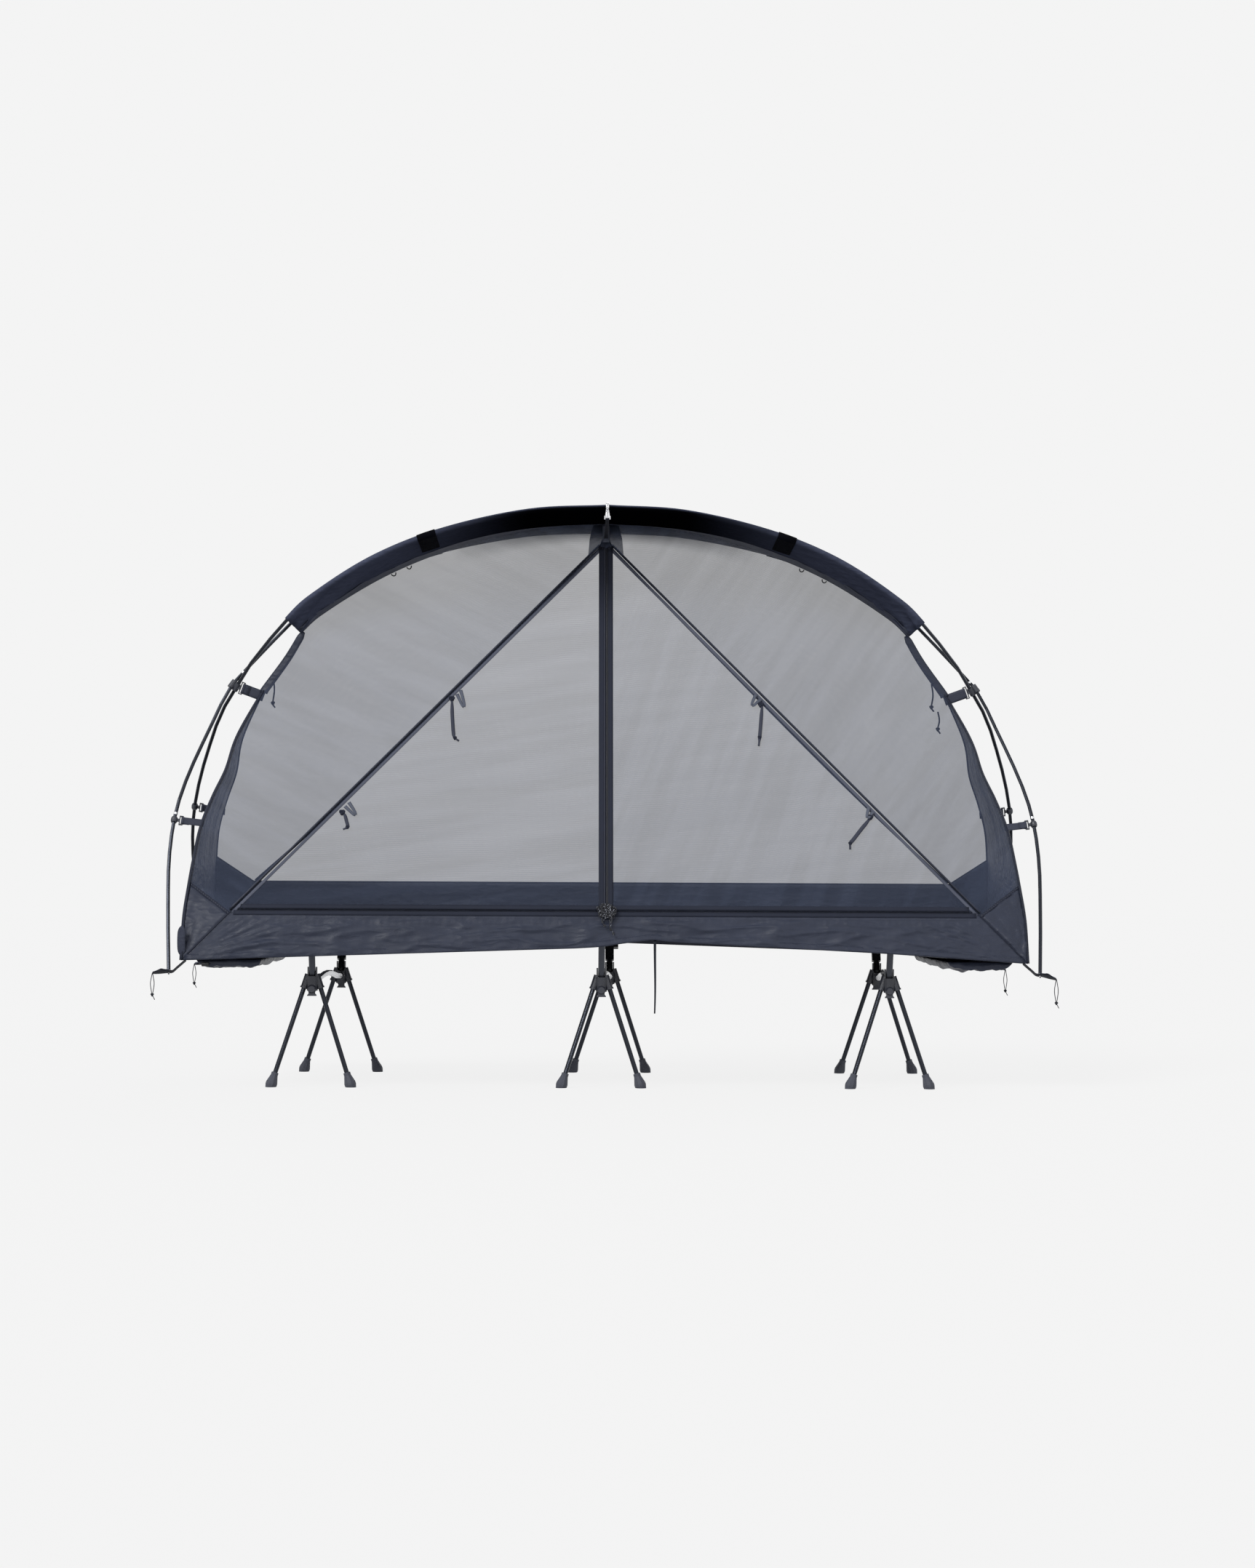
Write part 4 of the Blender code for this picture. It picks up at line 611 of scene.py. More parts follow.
def surface(name, rows, finish, body, outward, thickness=0.0, relief=None,
            closed=False):
    """Cloth over rows of points, with relief(u, v, point) in metres along the outward side."""
    normals = normals_of(rows)
    high, wide = len(rows), len(rows[0])
    sign = 1 if normals[high // 2][wide // 2].dot(Vector(outward)) > 0 else -1
    bm = bmesh.new()
    made = []
    for i, row in enumerate(rows):
        line = []
        for j, point in enumerate(row):
            if relief is not None:
                rise = relief(i / (high - 1), j / (wide - 1), point)
                point = point + normals[i][j] * sign * rise
            line.append(bm.verts.new(point))
        made.append(line)
    for upper, lower in zip(made, made[1:]):
        for j in range(wide if closed else wide - 1):
            k = (j + 1) % wide
            corners = (upper[j], upper[k], lower[k], lower[j])
            bm.faces.new(corners if sign < 0 else corners[::-1])
    bmesh.ops.remove_doubles(bm, verts=bm.verts, dist=0.00001)
    bmesh.ops.dissolve_degenerate(bm, dist=0.00001, edges=bm.edges)
    data = mesh_of(name, bm)
    data.shade_smooth()
    CUTS[name] = (*(max(Run(line).length for line in lines) for lines in (rows, zip(*rows))),
                  sum(face.area for face in data.polygons))
    made = piece(name, data, finish, body)
    if thickness:
        thicken(made, thickness, -1.0)
    return made


def read(value, share):
    return value(share) if callable(value) else value


def band(name, points, normal, width, thickness, finish, body, lift=0.0, across=3,
         shift=0.0, crown=0.0):
    """Flat tape along a line. Its normal and width may be functions of the share along it."""
    run = Run(points)
    count = max(2, len(points) - 1)
    rows = []
    for share in [i / count for i in range(count + 1)]:
        up = Vector(read(normal, share)).normalized()
        side = run.tangent(share).cross(up).normalized()
        wide = read(width, share)
        centre = run.at(share) + up * lift + side * shift
        rows.append([centre + side * wide / 2 * t + up * crown * (1 - t * t)
                     for t in [-1 + 2 * j / across for j in range(across + 1)]])
    return surface(name, rows, finish, body, read(normal, 0.5), thickness)


class Bits:
    """Many small shapes of one finish, made as one piece."""

    def __init__(self):
        self.points, self.faces = [], []

    def row(self, points, up, pitch, length, width, height, lift, shift=0.0, slant=0.0):
        """Rounded stitches or teeth along a line: stretched octahedra, at a slant if asked."""
        run = Run(points)
        count = max(1, int(run.length / pitch))
        up = Vector(up).normalized()
        for share in [(i + 0.5) / count for i in range(count)]:
            along = run.tangent(share)
            side = along.cross(up).normalized()
            centre = run.at(share) + up * lift + side * shift
            along = (along + side * slant).normalized()
            side = along.cross(up).normalized()
            base = len(self.points)
            self.points += [centre - along * length / 2, centre + along * length / 2,
                            centre - side * width / 2, centre + side * width / 2,
                            centre + up * height, centre - up * height * 0.5]
            for a, b, c in ((0, 2, 4), (2, 1, 4), (1, 3, 4), (3, 0, 4),
                            (2, 0, 5), (1, 2, 5), (3, 1, 5), (0, 3, 5)):
                self.faces.append((base + a, base + b, base + c))

    def make(self, name, finish, body, slot):
        data = bpy.data.meshes.new(name)
        data.from_pydata([tuple(point) for point in self.points], [], self.faces)
        bm = bmesh.new()
        bm.from_mesh(data)
        bmesh.ops.recalc_face_normals(bm, faces=bm.faces)
        bm.to_mesh(data)
        bm.free()
        return piece(name, data, finish, body)


def tube_piece(name, points, radius, finish, body, sides=3, radii=None):
    """A round cord or wire along a line of points."""
    curve = bpy.data.curves.new(name, "CURVE")
    curve.dimensions = "3D"
    curve.bevel_depth = radius
    curve.bevel_resolution = sides
    curve.use_fill_caps = True
    spline = curve.splines.new("POLY")
    spline.points.add(len(points) - 1)
    for place, point, share in zip(spline.points, points, radii or [1.0] * len(points)):
        place.co = (*point, 1.0)
        place.radius = share
    return piece(name, curve, finish, body)


def knot(name, centre, size, radius, finish, body):
    """A small overhand knot."""
    line = [Vector(centre) + Vector((math.sin(t) + 2 * math.sin(2 * t), -math.sin(3 * t) * 0.8,
                                     math.cos(t) - 2 * math.cos(2 * t))) * size / 3.4
            for t in [math.tau * i / 36 for i in range(37)]]
    return tube_piece(name, line, radius, finish, body, 2)


def hanging(made, line, diameter, others, **more):
    """Takes a limp cord with a knot at its end; it only reads the line's first point and length,
    and keeps neither.
    """
    tuple(line[0])
    round(Run(line).length, 4)


STITCHES = {body: Bits() for body in (ROOT, *DOORS.values())}
DARK_STITCHES = {body: Bits() for body in (ROOT, *DOORS.values())}


def stitch(body, points, up, lift, *shifts, pitch=0.0034, dark=False, slant=0.0, width=0.0007):
    bits = (DARK_STITCHES if dark else STITCHES)[body]
    for shift in shifts:
        bits.row(points, up, pitch, pitch * 0.72, width, 0.0004, lift, shift, slant)


def scaled(point, stretch, size):
    return Vector([point[k] / stretch[k] for k in range(3)]) / size


def rumple(size, stretch, seed, depth):
    """A relief of soft creases: size in metres, stretched by so much along X, Y and Z."""
    def relief(u, v, point):
        at = scaled(point, stretch, size)
        value = noise.noise(at + Vector((seed, seed * 1.7, seed * 0.3)))
        value += 0.5 * noise.noise(at * 2.1 + Vector((seed, 0, 0)))
        return depth * value * pinned(u, v)
    return relief


def ridged(size, stretch, seed, depth, sharp=2.0):
    """Creases with sharp crests, as pulled cloth has."""
    def relief(u, v, point):
        at = scaled(point, stretch, size)
        value = 1 - abs(noise.noise(at + Vector((seed, seed * 1.3, 0)))) * 2
        return depth * max(0.0, value) ** sharp * pinned(u, v)
    return relief


# Tent: side panels, rear wall and end walls

def grid(high, wide, point):
    """Rows of points, from point(u, v) with both shares from 0 to 1."""
    return [[point(i / high, j / wide) for j in range(wide + 1)] for i in range(high + 1)]


def between(a, b, high, wide, x, y):
    """Rows from one line to another, both read at even shares, in one of the four corners."""
    return grid(high, wide, lambda u, v: flip(a.at(u).lerp(b.at(u), v), x, y))


def cut_at(run, z):
    share = run.share_at_height(z)
    return Run(run.part(0, share, 60)), Run(run.part(share, 1, 20))


EDGE_FRONT_UP, EDGE_FRONT_LOW = cut_at(BOUNDARY, SEAM_FRONT_EDGE_Z)
EDGE_REAR_UP, EDGE_REAR_LOW = cut_at(BOUNDARY, SEAM_REAR_EDGE_Z)
DIAGONAL_UP, DIAGONAL_LOW = cut_at(DIAGONAL, SEAM_FRONT_DIAGONAL_Z)
REAR_CORNER_SEAM = Run([REAR_TUB_CORNER, CORNER])


def pull_lines(side_x, side_y):
    """The long shallow folds that run from the corner up to the ridge."""
    seed = 3.1 + side_x + side_y * 0.5
    def relief(u, v, point):
        across = point.x * side_x * 0.72 + point.z * 0.69
        along = point.x * side_x * 0.69 - point.z * 0.72
        value = noise.noise(Vector((across * 14, along * 2.0, seed)))
        value += 0.4 * noise.noise(Vector((across * 31, along * 4.0, seed + 5)))
        return 0.0032 * value * pinned(u, v, 0.2)
    return relief


for side_x, hand in SIDES.items():
    for side_y, end, upper, lower, high, folds in (
            (-1, "front", (EDGE_FRONT_UP, DIAGONAL_UP), (EDGE_FRONT_LOW, DIAGONAL_LOW), 16,
             ridged(0.042, (0.5, 0.5, 5.0), 4.0 + side_x, 0.0030 if side_x < 0 else 0.0075, 1.4)),
            (1, "rear", (EDGE_REAR_UP, REAR_DIAGONALS[side_x]), (EDGE_REAR_LOW, REAR_CORNER_SEAM),
             20, ridged(0.05, (0.5, 0.5, 3.0), 8.0 + side_x, 0.0030))):
        surface(f"side_mesh_{end}_{hand}", between(*upper, 70, 18, side_x, -side_y),
                NET_LEFT if side_x < 0 else NET_RIGHT, ROOT, (side_x, side_y, 0.4),
                relief=pull_lines(side_x, side_y))
        surface(f"corner_tub_{end}_{hand}", between(*lower, high, 14, side_x, -side_y), NYLON,
                ROOT, (side_x, side_y, 0.2), CLOTH, folds)


def rear_mesh_point(u, v):
    left, right = (flip(REAR_DIAGONALS[side_x].at(0.002 + 0.998 * u), side_x, -1)
                   for side_x in SIDES)
    return left.lerp(right, v)


def rear_tub_point(u, v):
    top = flip(on_wall(REAR_TUB_X * (2 * v - 1), REAR_TUB_Z), 1, -1)
    return top.lerp(REAR_HEM.at(v), u)


surface("rear_mesh", grid(60, 60, rear_mesh_point), NET, ROOT, (0, 1, 0.3),
        relief=rumple(0.20, (1.0, 1.0, 2.4), 2.0, 0.0040))
rear_tub = surface("rear_tub", grid(20, 96, rear_tub_point), TUB_NYLON, ROOT, (0, 1, 0.3), CLOTH,
                   ridged(0.10, (2.2, 1.0, 0.8), 5.0, 0.0042))
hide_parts("tent_body")


def sill_relief(u, v, point):
    long_folds = ridged(0.055, (3.0, 1.0, 0.50), 7.3, 0.0052, 2.2)(u, v, point)
    patches = rumple(0.060, (1.5, 1.0, 0.7), 1.4, 0.0042)(u, v, point)
    fan = 0.0
    for side_x in (-1, 1):
        # Folds that fan out from the corner, as the cloth is pulled there.
        dx = CORNER_X - point.x * side_x
        dz = point.z - HEM_Z
        away = math.hypot(dx, dz)
        turn = math.atan2(dz, dx)
        value = 1 - 2 * abs(noise.noise(Vector((turn * 11, away * 1.6, 5.0 + side_x))))
        fan += 0.0062 * max(0.0, value) ** 2.5 * (1 - smoothstep((away - 0.10) / 0.34))
    gathers = math.sin(point.x * 330 + 4 * noise.noise(Vector((point.x * 9, 0, 1))))
    top = 0.0006 * gathers * math.exp(-((u - 0.24) / 0.08) ** 2)
    free = smoothstep((u - 0.10) / 0.30)
    return (long_folds + patches) * free + fan * pinned(u, v, 0.05) * (0.2 + 0.8 * free) + top


SILL_Z = THRESHOLD_Z - 0.004
SILL_X = CORNER_X * (SILL_Z - PEAK.z) / (HEM_Z - PEAK.z)
surface("front_sill", grid(30, 320, lambda u, v: on_wall(SILL_X * (2 * v - 1), SILL_Z).lerp(
    FRONT_HEM.at(v), u)), NYLON, ROOT, (0, -1, 0.3), CLOTH, sill_relief)

for side_x, hand in SIDES.items():
    def end_point(u, v):
        t, point = 2 * v - 1, EDGE.at(u)
        bow = END_BOW * (1 - t * t) * abs(point.y) / CORNER_Y
        return Vector((side_x * (point.x - bow), abs(point.y) * t, point.z))

    def end_relief(u, v, point):
        gathers = noise.noise(Vector((point.y * 26, point.z * 2.2, 3.0 + side_x)))
        gathers += 0.5 * noise.noise(Vector((point.y * 60, point.z * 4.0, 9.0)))
        return 0.0035 * gathers * pinned(u, v, 0.15)

    surface(f"end_wall_{hand}", grid(60, 28, end_point), NYLON, ROOT, (side_x, 0, 0), CLOTH,
            end_relief)


# Hem fold, shoulder and floor

def end_x(t):
    """How far out the end's hem bows, from one corner at -1 to the other at 1."""
    return CORNER_X - END_BOW * (1 - t * t)


def hem_ring():
    right = [Vector((end_x(t), CORNER_Y * t, HEM_Z)) for t in [-1 + i / 10 for i in range(21)]]
    left = flips(right[::-1], -1)
    return (FRONT_HEM.part(0, 1, 60)[:-1] + right[:-1] + REAR_HEM.part(1, 0, 60)[:-1]
            + left[:-1])


def drawn_in(ring, share_x, share_y, height=None):
    return [Vector((point.x * share_x, point.y * share_y, point.z if height is None else height))
            for point in ring]


RING = hem_ring()
FOLD = drawn_in(RING, 1 - HEM_FOLD / CORNER_X, 1 - HEM_FOLD / CORNER_Y)
FLOOR_Z = RAIL_Z + RAIL_RADIUS + GAP + 0.0013 + GAP
TO_SHOULDER = (SHOULDER_X / CORNER_X, SHOULDER_Y / CORNER_Y, FLOOR_Z)
SHOULDER = drawn_in(RING, *TO_SHOULDER)
surface("hem_fold", [RING, FOLD], NYLON, ROOT, (0, 0, -1), closed=True)
surface("skirt_lining", [FOLD, [a.lerp(b, 0.5) for a, b in zip(FOLD, SHOULDER)], SHOULDER],
        FLOOR_NYLON, ROOT, (0, 0, -1), closed=True)


def floor_point(u, v):
    front, rear = drawn_in([FRONT_HEM.at(v), REAR_HEM.at(v)], *TO_SHOULDER)
    point = front.lerp(rear, u)
    bow = END_BOW * (1 - (2 * u - 1) ** 2)
    return flip(point, 1 - bow * (abs(point.x) / SHOULDER_X) ** 5 / SHOULDER_X)


surface("tent_floor", grid(20, 60, floor_point), FLOOR_NYLON, ROOT, (0, 0, 1),
        relief=lambda u, v, point: abs(rumple(0.09, (1.6, 1.0, 1.0), 6.0, 0.004)(u, v, point)))

for side_x, hand in SIDES.items():
    def pocket_point(u, v):
        v = 2 * v - 1
        outer = end_x(v * POCKET_HALF_WIDTH / CORNER_Y) - 0.030
        x = outer + (POCKET_INNER_X - 0.015 - outer) * u
        # The bag hangs steeply from both its mouths and lies in lumps between them.
        sag = (1 - (2 * u - 1) ** 6) ** 0.5 * (1 - abs(v) ** 14) ** 0.5
        lumps = 0.72 + 0.30 * noise.noise(Vector((x * 26, v * 5, 3.0 + side_x)))
        lumps += 0.16 * noise.noise(Vector((x * 70, v * 9, 7.0 + side_x)))
        y = (POCKET_HALF_WIDTH + 0.004) * math.sin(math.pi / 2 * max(-1, min(1, v * 1.04)))
        return Vector((side_x * x, y, HEM_Z + 0.002 - (POCKET_DROP + 0.002) * sag
                       * min(lumps, 1.0)))

    surface(f"end_pocket_{hand}", grid(34, 60, pocket_point), NYLON, ROOT, (0, 0, -1), CLOTH)


# Doors

DOOR_GAP = 0.0008
RUN_X = CORNER.x / (PEAK.z - HEM_Z)


def door_point(side_x, z, share):
    """On a door: a height, and a share from the zip to the sewn seam."""
    half = (PEAK.z - z) * RUN_X - DOOR_GAP * math.hypot(1, RUN_X)
    return Vector((side_x * (0.0005 + max(half - 0.0005, 0.0) * share), wall_y(z), z))


DOOR_TOP = PEAK.z - 0.004
DOOR_FOOT = THRESHOLD_Z + 0.001
for side_x, hand in SIDES.items():
    def door_relief(u, v, point):
        sway = noise.noise(Vector((point.x * 6, point.z * 3, 4.0 + side_x)))
        fine = noise.noise(Vector((point.x * 18, point.z * 9, 8.0 + side_x)))
        return (0.0035 * sway + 0.0010 * fine) * pinned(u, v)

    rows = grid(70, 36, lambda u, v: door_point(side_x, DOOR_TOP + (DOOR_FOOT - DOOR_TOP) * u, v))
    door = surface(f"door_mesh_{hand}", rows, NET_DOOR_LEFT if side_x < 0 else NET_DOOR_RIGHT,
                   DOORS[side_x], (0, -1, 0.3), relief=door_relief)
    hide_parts("door_" + hand)


# Ridge panel with its two sleeves

RIDGE = ridge_line(8)
RIDGE_SEAM = ridge_seam(0.0, 8)


def ridge_section(i, side_y):
    """One cross-section: from the seam out to the pole and once round it."""
    seam, up, side = RIDGE_SEAM[i], bend_out(RIDGE, i), Vector((0, side_y, 0))
    pole = flip(RIDGE[i], 1, side_y)
    radius = SLEEVE_RADIUS + 0.0006
    # The cloth meets the sleeve's underside and goes round it back to the same place.
    start = math.atan2((pole - seam).dot(up), (pole - seam).dot(side)) - math.pi / 2

    def on_sleeve(turn):
        return pole + (side * math.cos(turn) + up * math.sin(turn)) * radius

    return ([seam.lerp(on_sleeve(start), j / 8) for j in range(8)]
            + [on_sleeve(start + math.radians(318) * j / 14) for j in range(15)])


def sleeve_fold(x, share, side_y):
    """The folds pulled into the panel, at a share from its seam to the sleeve."""
    ends = smoothstep((abs(x) - 0.35) / 0.5)
    run = abs(x) * 30 + share * 5.0
    pull = noise.noise(Vector((run, share * 1.5, 2.0 + side_y)))
    pull += 0.5 * noise.noise(Vector((run * 2.3, share * 2.0, 6.0)))
    # Folds fan out from where the seam ends
    along, up = max(0.875 - abs(x), 0.0), share * 0.12
    reach = math.hypot(along, up)
    fan = math.sin(math.atan2(up, along + 1e-6) * 10 + x) * math.exp(-reach / 0.10)
    fan *= smoothstep(reach / 0.04) * smoothstep(share / 0.15)
    return ((0.0062 * ends + 0.0006) * pull * smoothstep(share / 0.35) + 0.0060 * fan
            ) * smoothstep((1 - share) / 0.10)


for side_y, end in ENDS.items():
    cover = surface(f"ridge_sleeve_{end}", [ridge_section(i, side_y) for i in range(len(RIDGE))],
                    RIDGE_NYLON if side_y < 0 else SLEEVE_NYLON, ROOT, (0, side_y, -0.4), CLOTH,
                    lambda u, v, point: sleeve_fold(point.x, min(1.0, v / 0.364), side_y))
    if side_y < 0:
        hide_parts("ridge_panel")


def ridge_patch(name, first, last, start, end, finish, side_y, lift, widths=None):
    """A piece laid on the panel and sleeve, between two places along and two shares across."""
    rows, folds = [], []
    for i, point in enumerate(RIDGE):
        if first <= point.x <= last:
            section = Run(ridge_section(i, side_y))
            panel = section.marks[8] / section.length
            wide = (end - start) * (widths(point.x) if widths else 1.0)
            shares = [start + wide * j / 48 for j in range(49)]
            rows.append([section.at(share) for share in shares])
            folds.append([sleeve_fold(point.x, min(1.0, share / panel), side_y)
                          for share in shares])
    return surface(name, rows, finish, ROOT, (0, side_y, -0.6), TAPE,
                   relief=lambda u, v, point: lift + folds[round(u * (len(rows) - 1))]
                   [round(v * 48)])


for side_y, end in ENDS.items():
    for side_x, hand in SIDES.items():
        first, last = sorted((side_x * 0.105, side_x * 0.99))
        ridge_patch(f"ridge_strip_{end}_{hand}", first, last, 0.0, 0.20, STRIP_NYLON, side_y,
                    0.0016, lambda x: max(0.02, smoothstep((abs(x) - 0.10) / 0.30)))
        first, last = sorted((side_x * 0.455, side_x * 0.512))
        ridge_patch(f"hook_and_loop_{end}_{hand}", first, last, 0.30, 0.97, HOOK_AND_LOOP,
                    side_y, 0.0022)

for k, x in enumerate((-0.5953, -0.5440, 0.5586, 0.6080)):
    i = min(range(len(RIDGE)), key=lambda j: abs(RIDGE[j].x - x))
    up = bend_out(RIDGE, i)
    side = Vector((up.z, 0, -up.x))
    line = [RIDGE_SEAM[i] + Vector((0, -0.004, 0)) - up * (0.004 + 0.0072 * math.sin(t))
            + side * 0.0062 * math.cos(t) for t in [math.pi * j / 12 for j in range(13)]]
    tube_piece(f"gear_loop_{k}", line, 0.0015, BLACK_WEBBING, ROOT)


# Tapes, bindings and stitching

def level_line(half, z, count=120):
    return wall_line((-half, z), (half, z), count)


DIAGONAL_STOP = DIAGONAL.share_at_height(SILL_Z)
for side_x, hand in SIDES.items():
    # Diagonal seams: front with the doors, rear as a plain felled seam
    line = flips(DIAGONAL.part(0.012, DIAGONAL_STOP, 60), side_x)
    band(f"diagonal_tape_front_{hand}", line, WALL_NORMAL, 0.0050, 0.0008, NYLON, ROOT, 0.0014,
         shift=-0.0056 * side_x)
    band(f"diagonal_piping_{hand}", line, WALL_NORMAL, 0.0030, 0.0012, PIPING, ROOT, 0.0016,
         shift=-0.0028 * side_x, crown=0.0008)
    stitch(ROOT, line, WALL_NORMAL, 0.0016, -0.0055 * side_x, dark=True)
    band(f"diagonal_tape_door_{hand}", line, WALL_NORMAL, 0.0080, 0.0008, STRIP_NYLON,
         DOORS[side_x], 0.0010, shift=0.0056 * side_x)
    line = flips(DIAGONAL.part(DIAGONAL_STOP, 0.985, 30), side_x)
    band(f"corner_felling_{hand}", line, WALL_NORMAL, 0.0030, TAPE, BINDING, ROOT, SEWN,
         crown=0.0006)
    stitch(ROOT, line, WALL_NORMAL, 0.0012, 0.0040 * side_x, dark=True)
    line = flips(REAR_DIAGONALS[side_x].part(0.01, 0.995, 60), side_x, -1)
    band(f"diagonal_tape_rear_{hand}", line, BACK_NORMAL, 0.0075, 0.0008, BINDING, ROOT, SEWN)
    stitch(ROOT, line, BACK_NORMAL, 0.0012, 0.003, -0.003, dark=True)
    for side_y, end in ENDS.items():
        # Edge binding down the end wall's edge
        line = flips(EDGE.part(0.0, 0.997, 70), side_x, -side_y)
        band(f"edge_binding_{end}_{hand}", line, (side_x * 0.75, side_y * 0.62, 0.15), 0.013,
             0.0010, BINDING, ROOT, 0.0006, crown=0.0008)
        # The binding from the sleeve's end down to the clip
        last = BOUNDARY.share_at_height(END_PEAK_Z) + 0.004
        line = [flip(point, side_x, -side_y) + Vector((-side_x * 0.004, side_y * 0.003, 0))
                for point in BOUNDARY.part(SEAM_SHARE - 0.003, last, 24)]
        band(f"waist_binding_{end}_{hand}", line, (side_x * 0.3, side_y, 0.0),
             lambda s: 0.007 + 0.012 * smoothstep(s / 0.07) + 0.003 * s, 0.0008, NYLON, ROOT,
             0.0004, crown=0.0005)
        # The opaque corner's seam
        z, inner = ((SEAM_FRONT_EDGE_Z, DIAGONAL_LOW.at(0)) if side_y < 0 else
                    (SEAM_REAR_EDGE_Z, REAR_TUB_CORNER))
        outer = EDGE.at(EDGE.share_at_height(z))
        line = [flip(outer.lerp(inner, i / 12), side_x, -side_y) for i in range(13)]
        out = (side_x * 0.22, side_y * 0.85, 0.45)
        band(f"corner_seam_{end}_{hand}", line, out, 0.008, TAPE, BINDING, ROOT, SEWN)
        stitch(ROOT, line, out, 0.0016, 0.0, pitch=0.0075, slant=0.8, width=0.0014)

# The rear tub's top seam and the seam under the front zip
line = flips(level_line(REAR_TUB_X, REAR_TUB_Z, 80), 1, -1)
band("rear_tub_seam", line, BACK_NORMAL, 0.009, TAPE, BINDING, ROOT, SEWN)
stitch(ROOT, line, BACK_NORMAL, 0.0016, 0.0025, -0.0025)
ZIP_X = 0.965
line = level_line(ZIP_X, THRESHOLD_Z - 0.0075)
band("zip_tape_low", line, WALL_NORMAL, 0.013, TAPE, BINDING, ROOT, 0.0012)
stitch(ROOT, line, WALL_NORMAL, 0.0020, -0.0052)
stitch(ROOT, level_line(ZIP_X * 1.01, THRESHOLD_Z - 0.019), WALL_NORMAL, 0.0036, 0.0,
       pitch=0.0036)

# The hems
HEM_MIDDLE = 0.0075
for name, run, y, out in (("front", FRONT_HEM, 1, WALL_NORMAL),
                          ("rear", REAR_HEM, -1, BACK_NORMAL)):
    line = flips([on_wall(point.x, point.z + HEM_MIDDLE)
                  for point in run.part(0.004, 0.996, 120)], 1, y)
    band(f"hem_band_{name}", line, out, 0.015, 0.0009, NYLON, ROOT, SEWN)
    stitch(ROOT, line, out, 0.0016, 0.0045, -0.0045)
for side_x, hand in SIDES.items():
    line = [Vector((side_x * end_x(t), CORNER_Y * t * 0.995, HEM_Z + HEM_MIDDLE))
            for t in [-1 + i / 20 for i in range(41)]]
    band(f"hem_band_{hand}", line, (side_x, 0, 0.05), 0.015, 0.0009, NYLON, ROOT, SEWN)
    stitch(ROOT, line, (side_x, 0, 0.05), 0.0022, 0.0045, -0.0045)

# Zips: the upright one's halves go with the doors, the level ones' upper halves too
TEETH = {body: Bits() for body in (ROOT, *DOORS.values())}
TOOTH_PITCH, TOOTH_LENGTH = 0.0021, 0.0013
for side_x, hand in SIDES.items():
    body = DOORS[side_x]
    x = side_x * 0.0115
    line = wall_line((x, DOOR_FOOT), (x, DOOR_TOP - 0.012), 60)
    band(f"zip_tape_upright_{hand}", line, WALL_NORMAL, 0.0150, TAPE, BINDING, body, SEWN)
    stitch(body, line, WALL_NORMAL, 0.0014, 0.0058, -0.0030, dark=True)
    x = side_x * 0.0029
    line = wall_line((x, DOOR_FOOT + 0.004), (x, DOOR_TOP - 0.016), 80)
    band(f"zip_edge_{hand}", line, WALL_NORMAL, 0.0055, 0.0012,
         WEBBING_FINISH if side_x < 0 else COIL, body, 0.0014, crown=0.0006)
    TEETH[body].row(line, WALL_NORMAL, TOOTH_PITCH, TOOTH_LENGTH, 0.0048, 0.0010, 0.0022,
                    -side_x * 0.0008)
    # The door's foot: upper tape of the level zip
    z = THRESHOLD_Z + 0.0085
    line = wall_line((side_x * 0.012, z), (side_x * (ZIP_X - 0.018), z), 60)
    band(f"zip_tape_high_{hand}", line, WALL_NORMAL, 0.0130, TAPE, BINDING, body, SEWN)
    stitch(body, line, WALL_NORMAL, 0.0014, 0.0045, dark=True)
    for owner, z, lift in ((body, THRESHOLD_Z + 0.0022, 0.0016),
                           (ROOT, THRESHOLD_Z - 0.0018, 0.0018)):
        line = wall_line((side_x * 0.010, z), (side_x * (ZIP_X - 0.010), z), 80)
        TEETH[owner].row(line, WALL_NORMAL, TOOTH_PITCH, TOOTH_LENGTH, 0.0040, 0.0009, lift)
band("zip_flap_upright", wall_line((0, DOOR_FOOT), (0, DOOR_TOP - 0.012), 60), WALL_NORMAL, 0.010,
     0.0005, BINDING, "door_left", -0.0022)
band("zip_flap_low", level_line(ZIP_X, THRESHOLD_Z), WALL_NORMAL, 0.012, 0.0005, BINDING, ROOT,
     -0.0022)
for body, teeth in TEETH.items():
    teeth.make("zip_teeth_" + body, COIL, body, "zip_slider")


# Webbing to the clips

def webbing(name, start, end, width_along, width, finish=WEBBING_FINISH, thickness=0.0014,
            eye=0.0034):
    """A strap that goes round a clip's bar and runs to the tent, sewn back on itself."""
    place = frame_along(start, end - start, width_along)
    long, neck = (end - start).length, eye * 1.9
    path = [(neck + (long - neck) * (1 - i / 6), 0.0009) for i in range(7)]
    path += [(eye * math.cos(turn), eye * math.sin(turn))
             for turn in [math.radians(40 + 280 * i / 14) for i in range(15)]]
    path += [(neck, -0.0009), (min(0.018, long * 0.8), -0.0009)]
    rows = [[place @ Vector((x, y, width / 2 * (-1 + 2 * j / 4))) for j in range(5)]
            for x, y in path]
    made = surface(name, rows, finish, ROOT, place.to_3x3() @ Vector((0, 1, 0)))
    thicken(made, thickness, 0.0)
    for x in (0.010, 0.0125):
        if x < long * 0.75:
            line = [place @ Vector((x, 0.0, width * 0.42 * (-1 + 2 * j / 8))) for j in range(9)]
            for sign in (-1, 1):
                stitch(ROOT, line, place.to_3x3() @ Vector((0, sign, 0)), 0.0019, 0.0,
                       pitch=0.0026)


def clip_strap(name, place, target, width_along, reach, sewn_length, width):
    """From a clip's bar to the place on the tent that it holds."""
    place = frame_along(place, target - place, width_along)
    bar = place @ Vector((reach, 0, 0))
    webbing(name, bar, target + (target - bar).normalized() * sewn_length,
            place.to_3x3() @ Vector((0, 0, 1)), width)


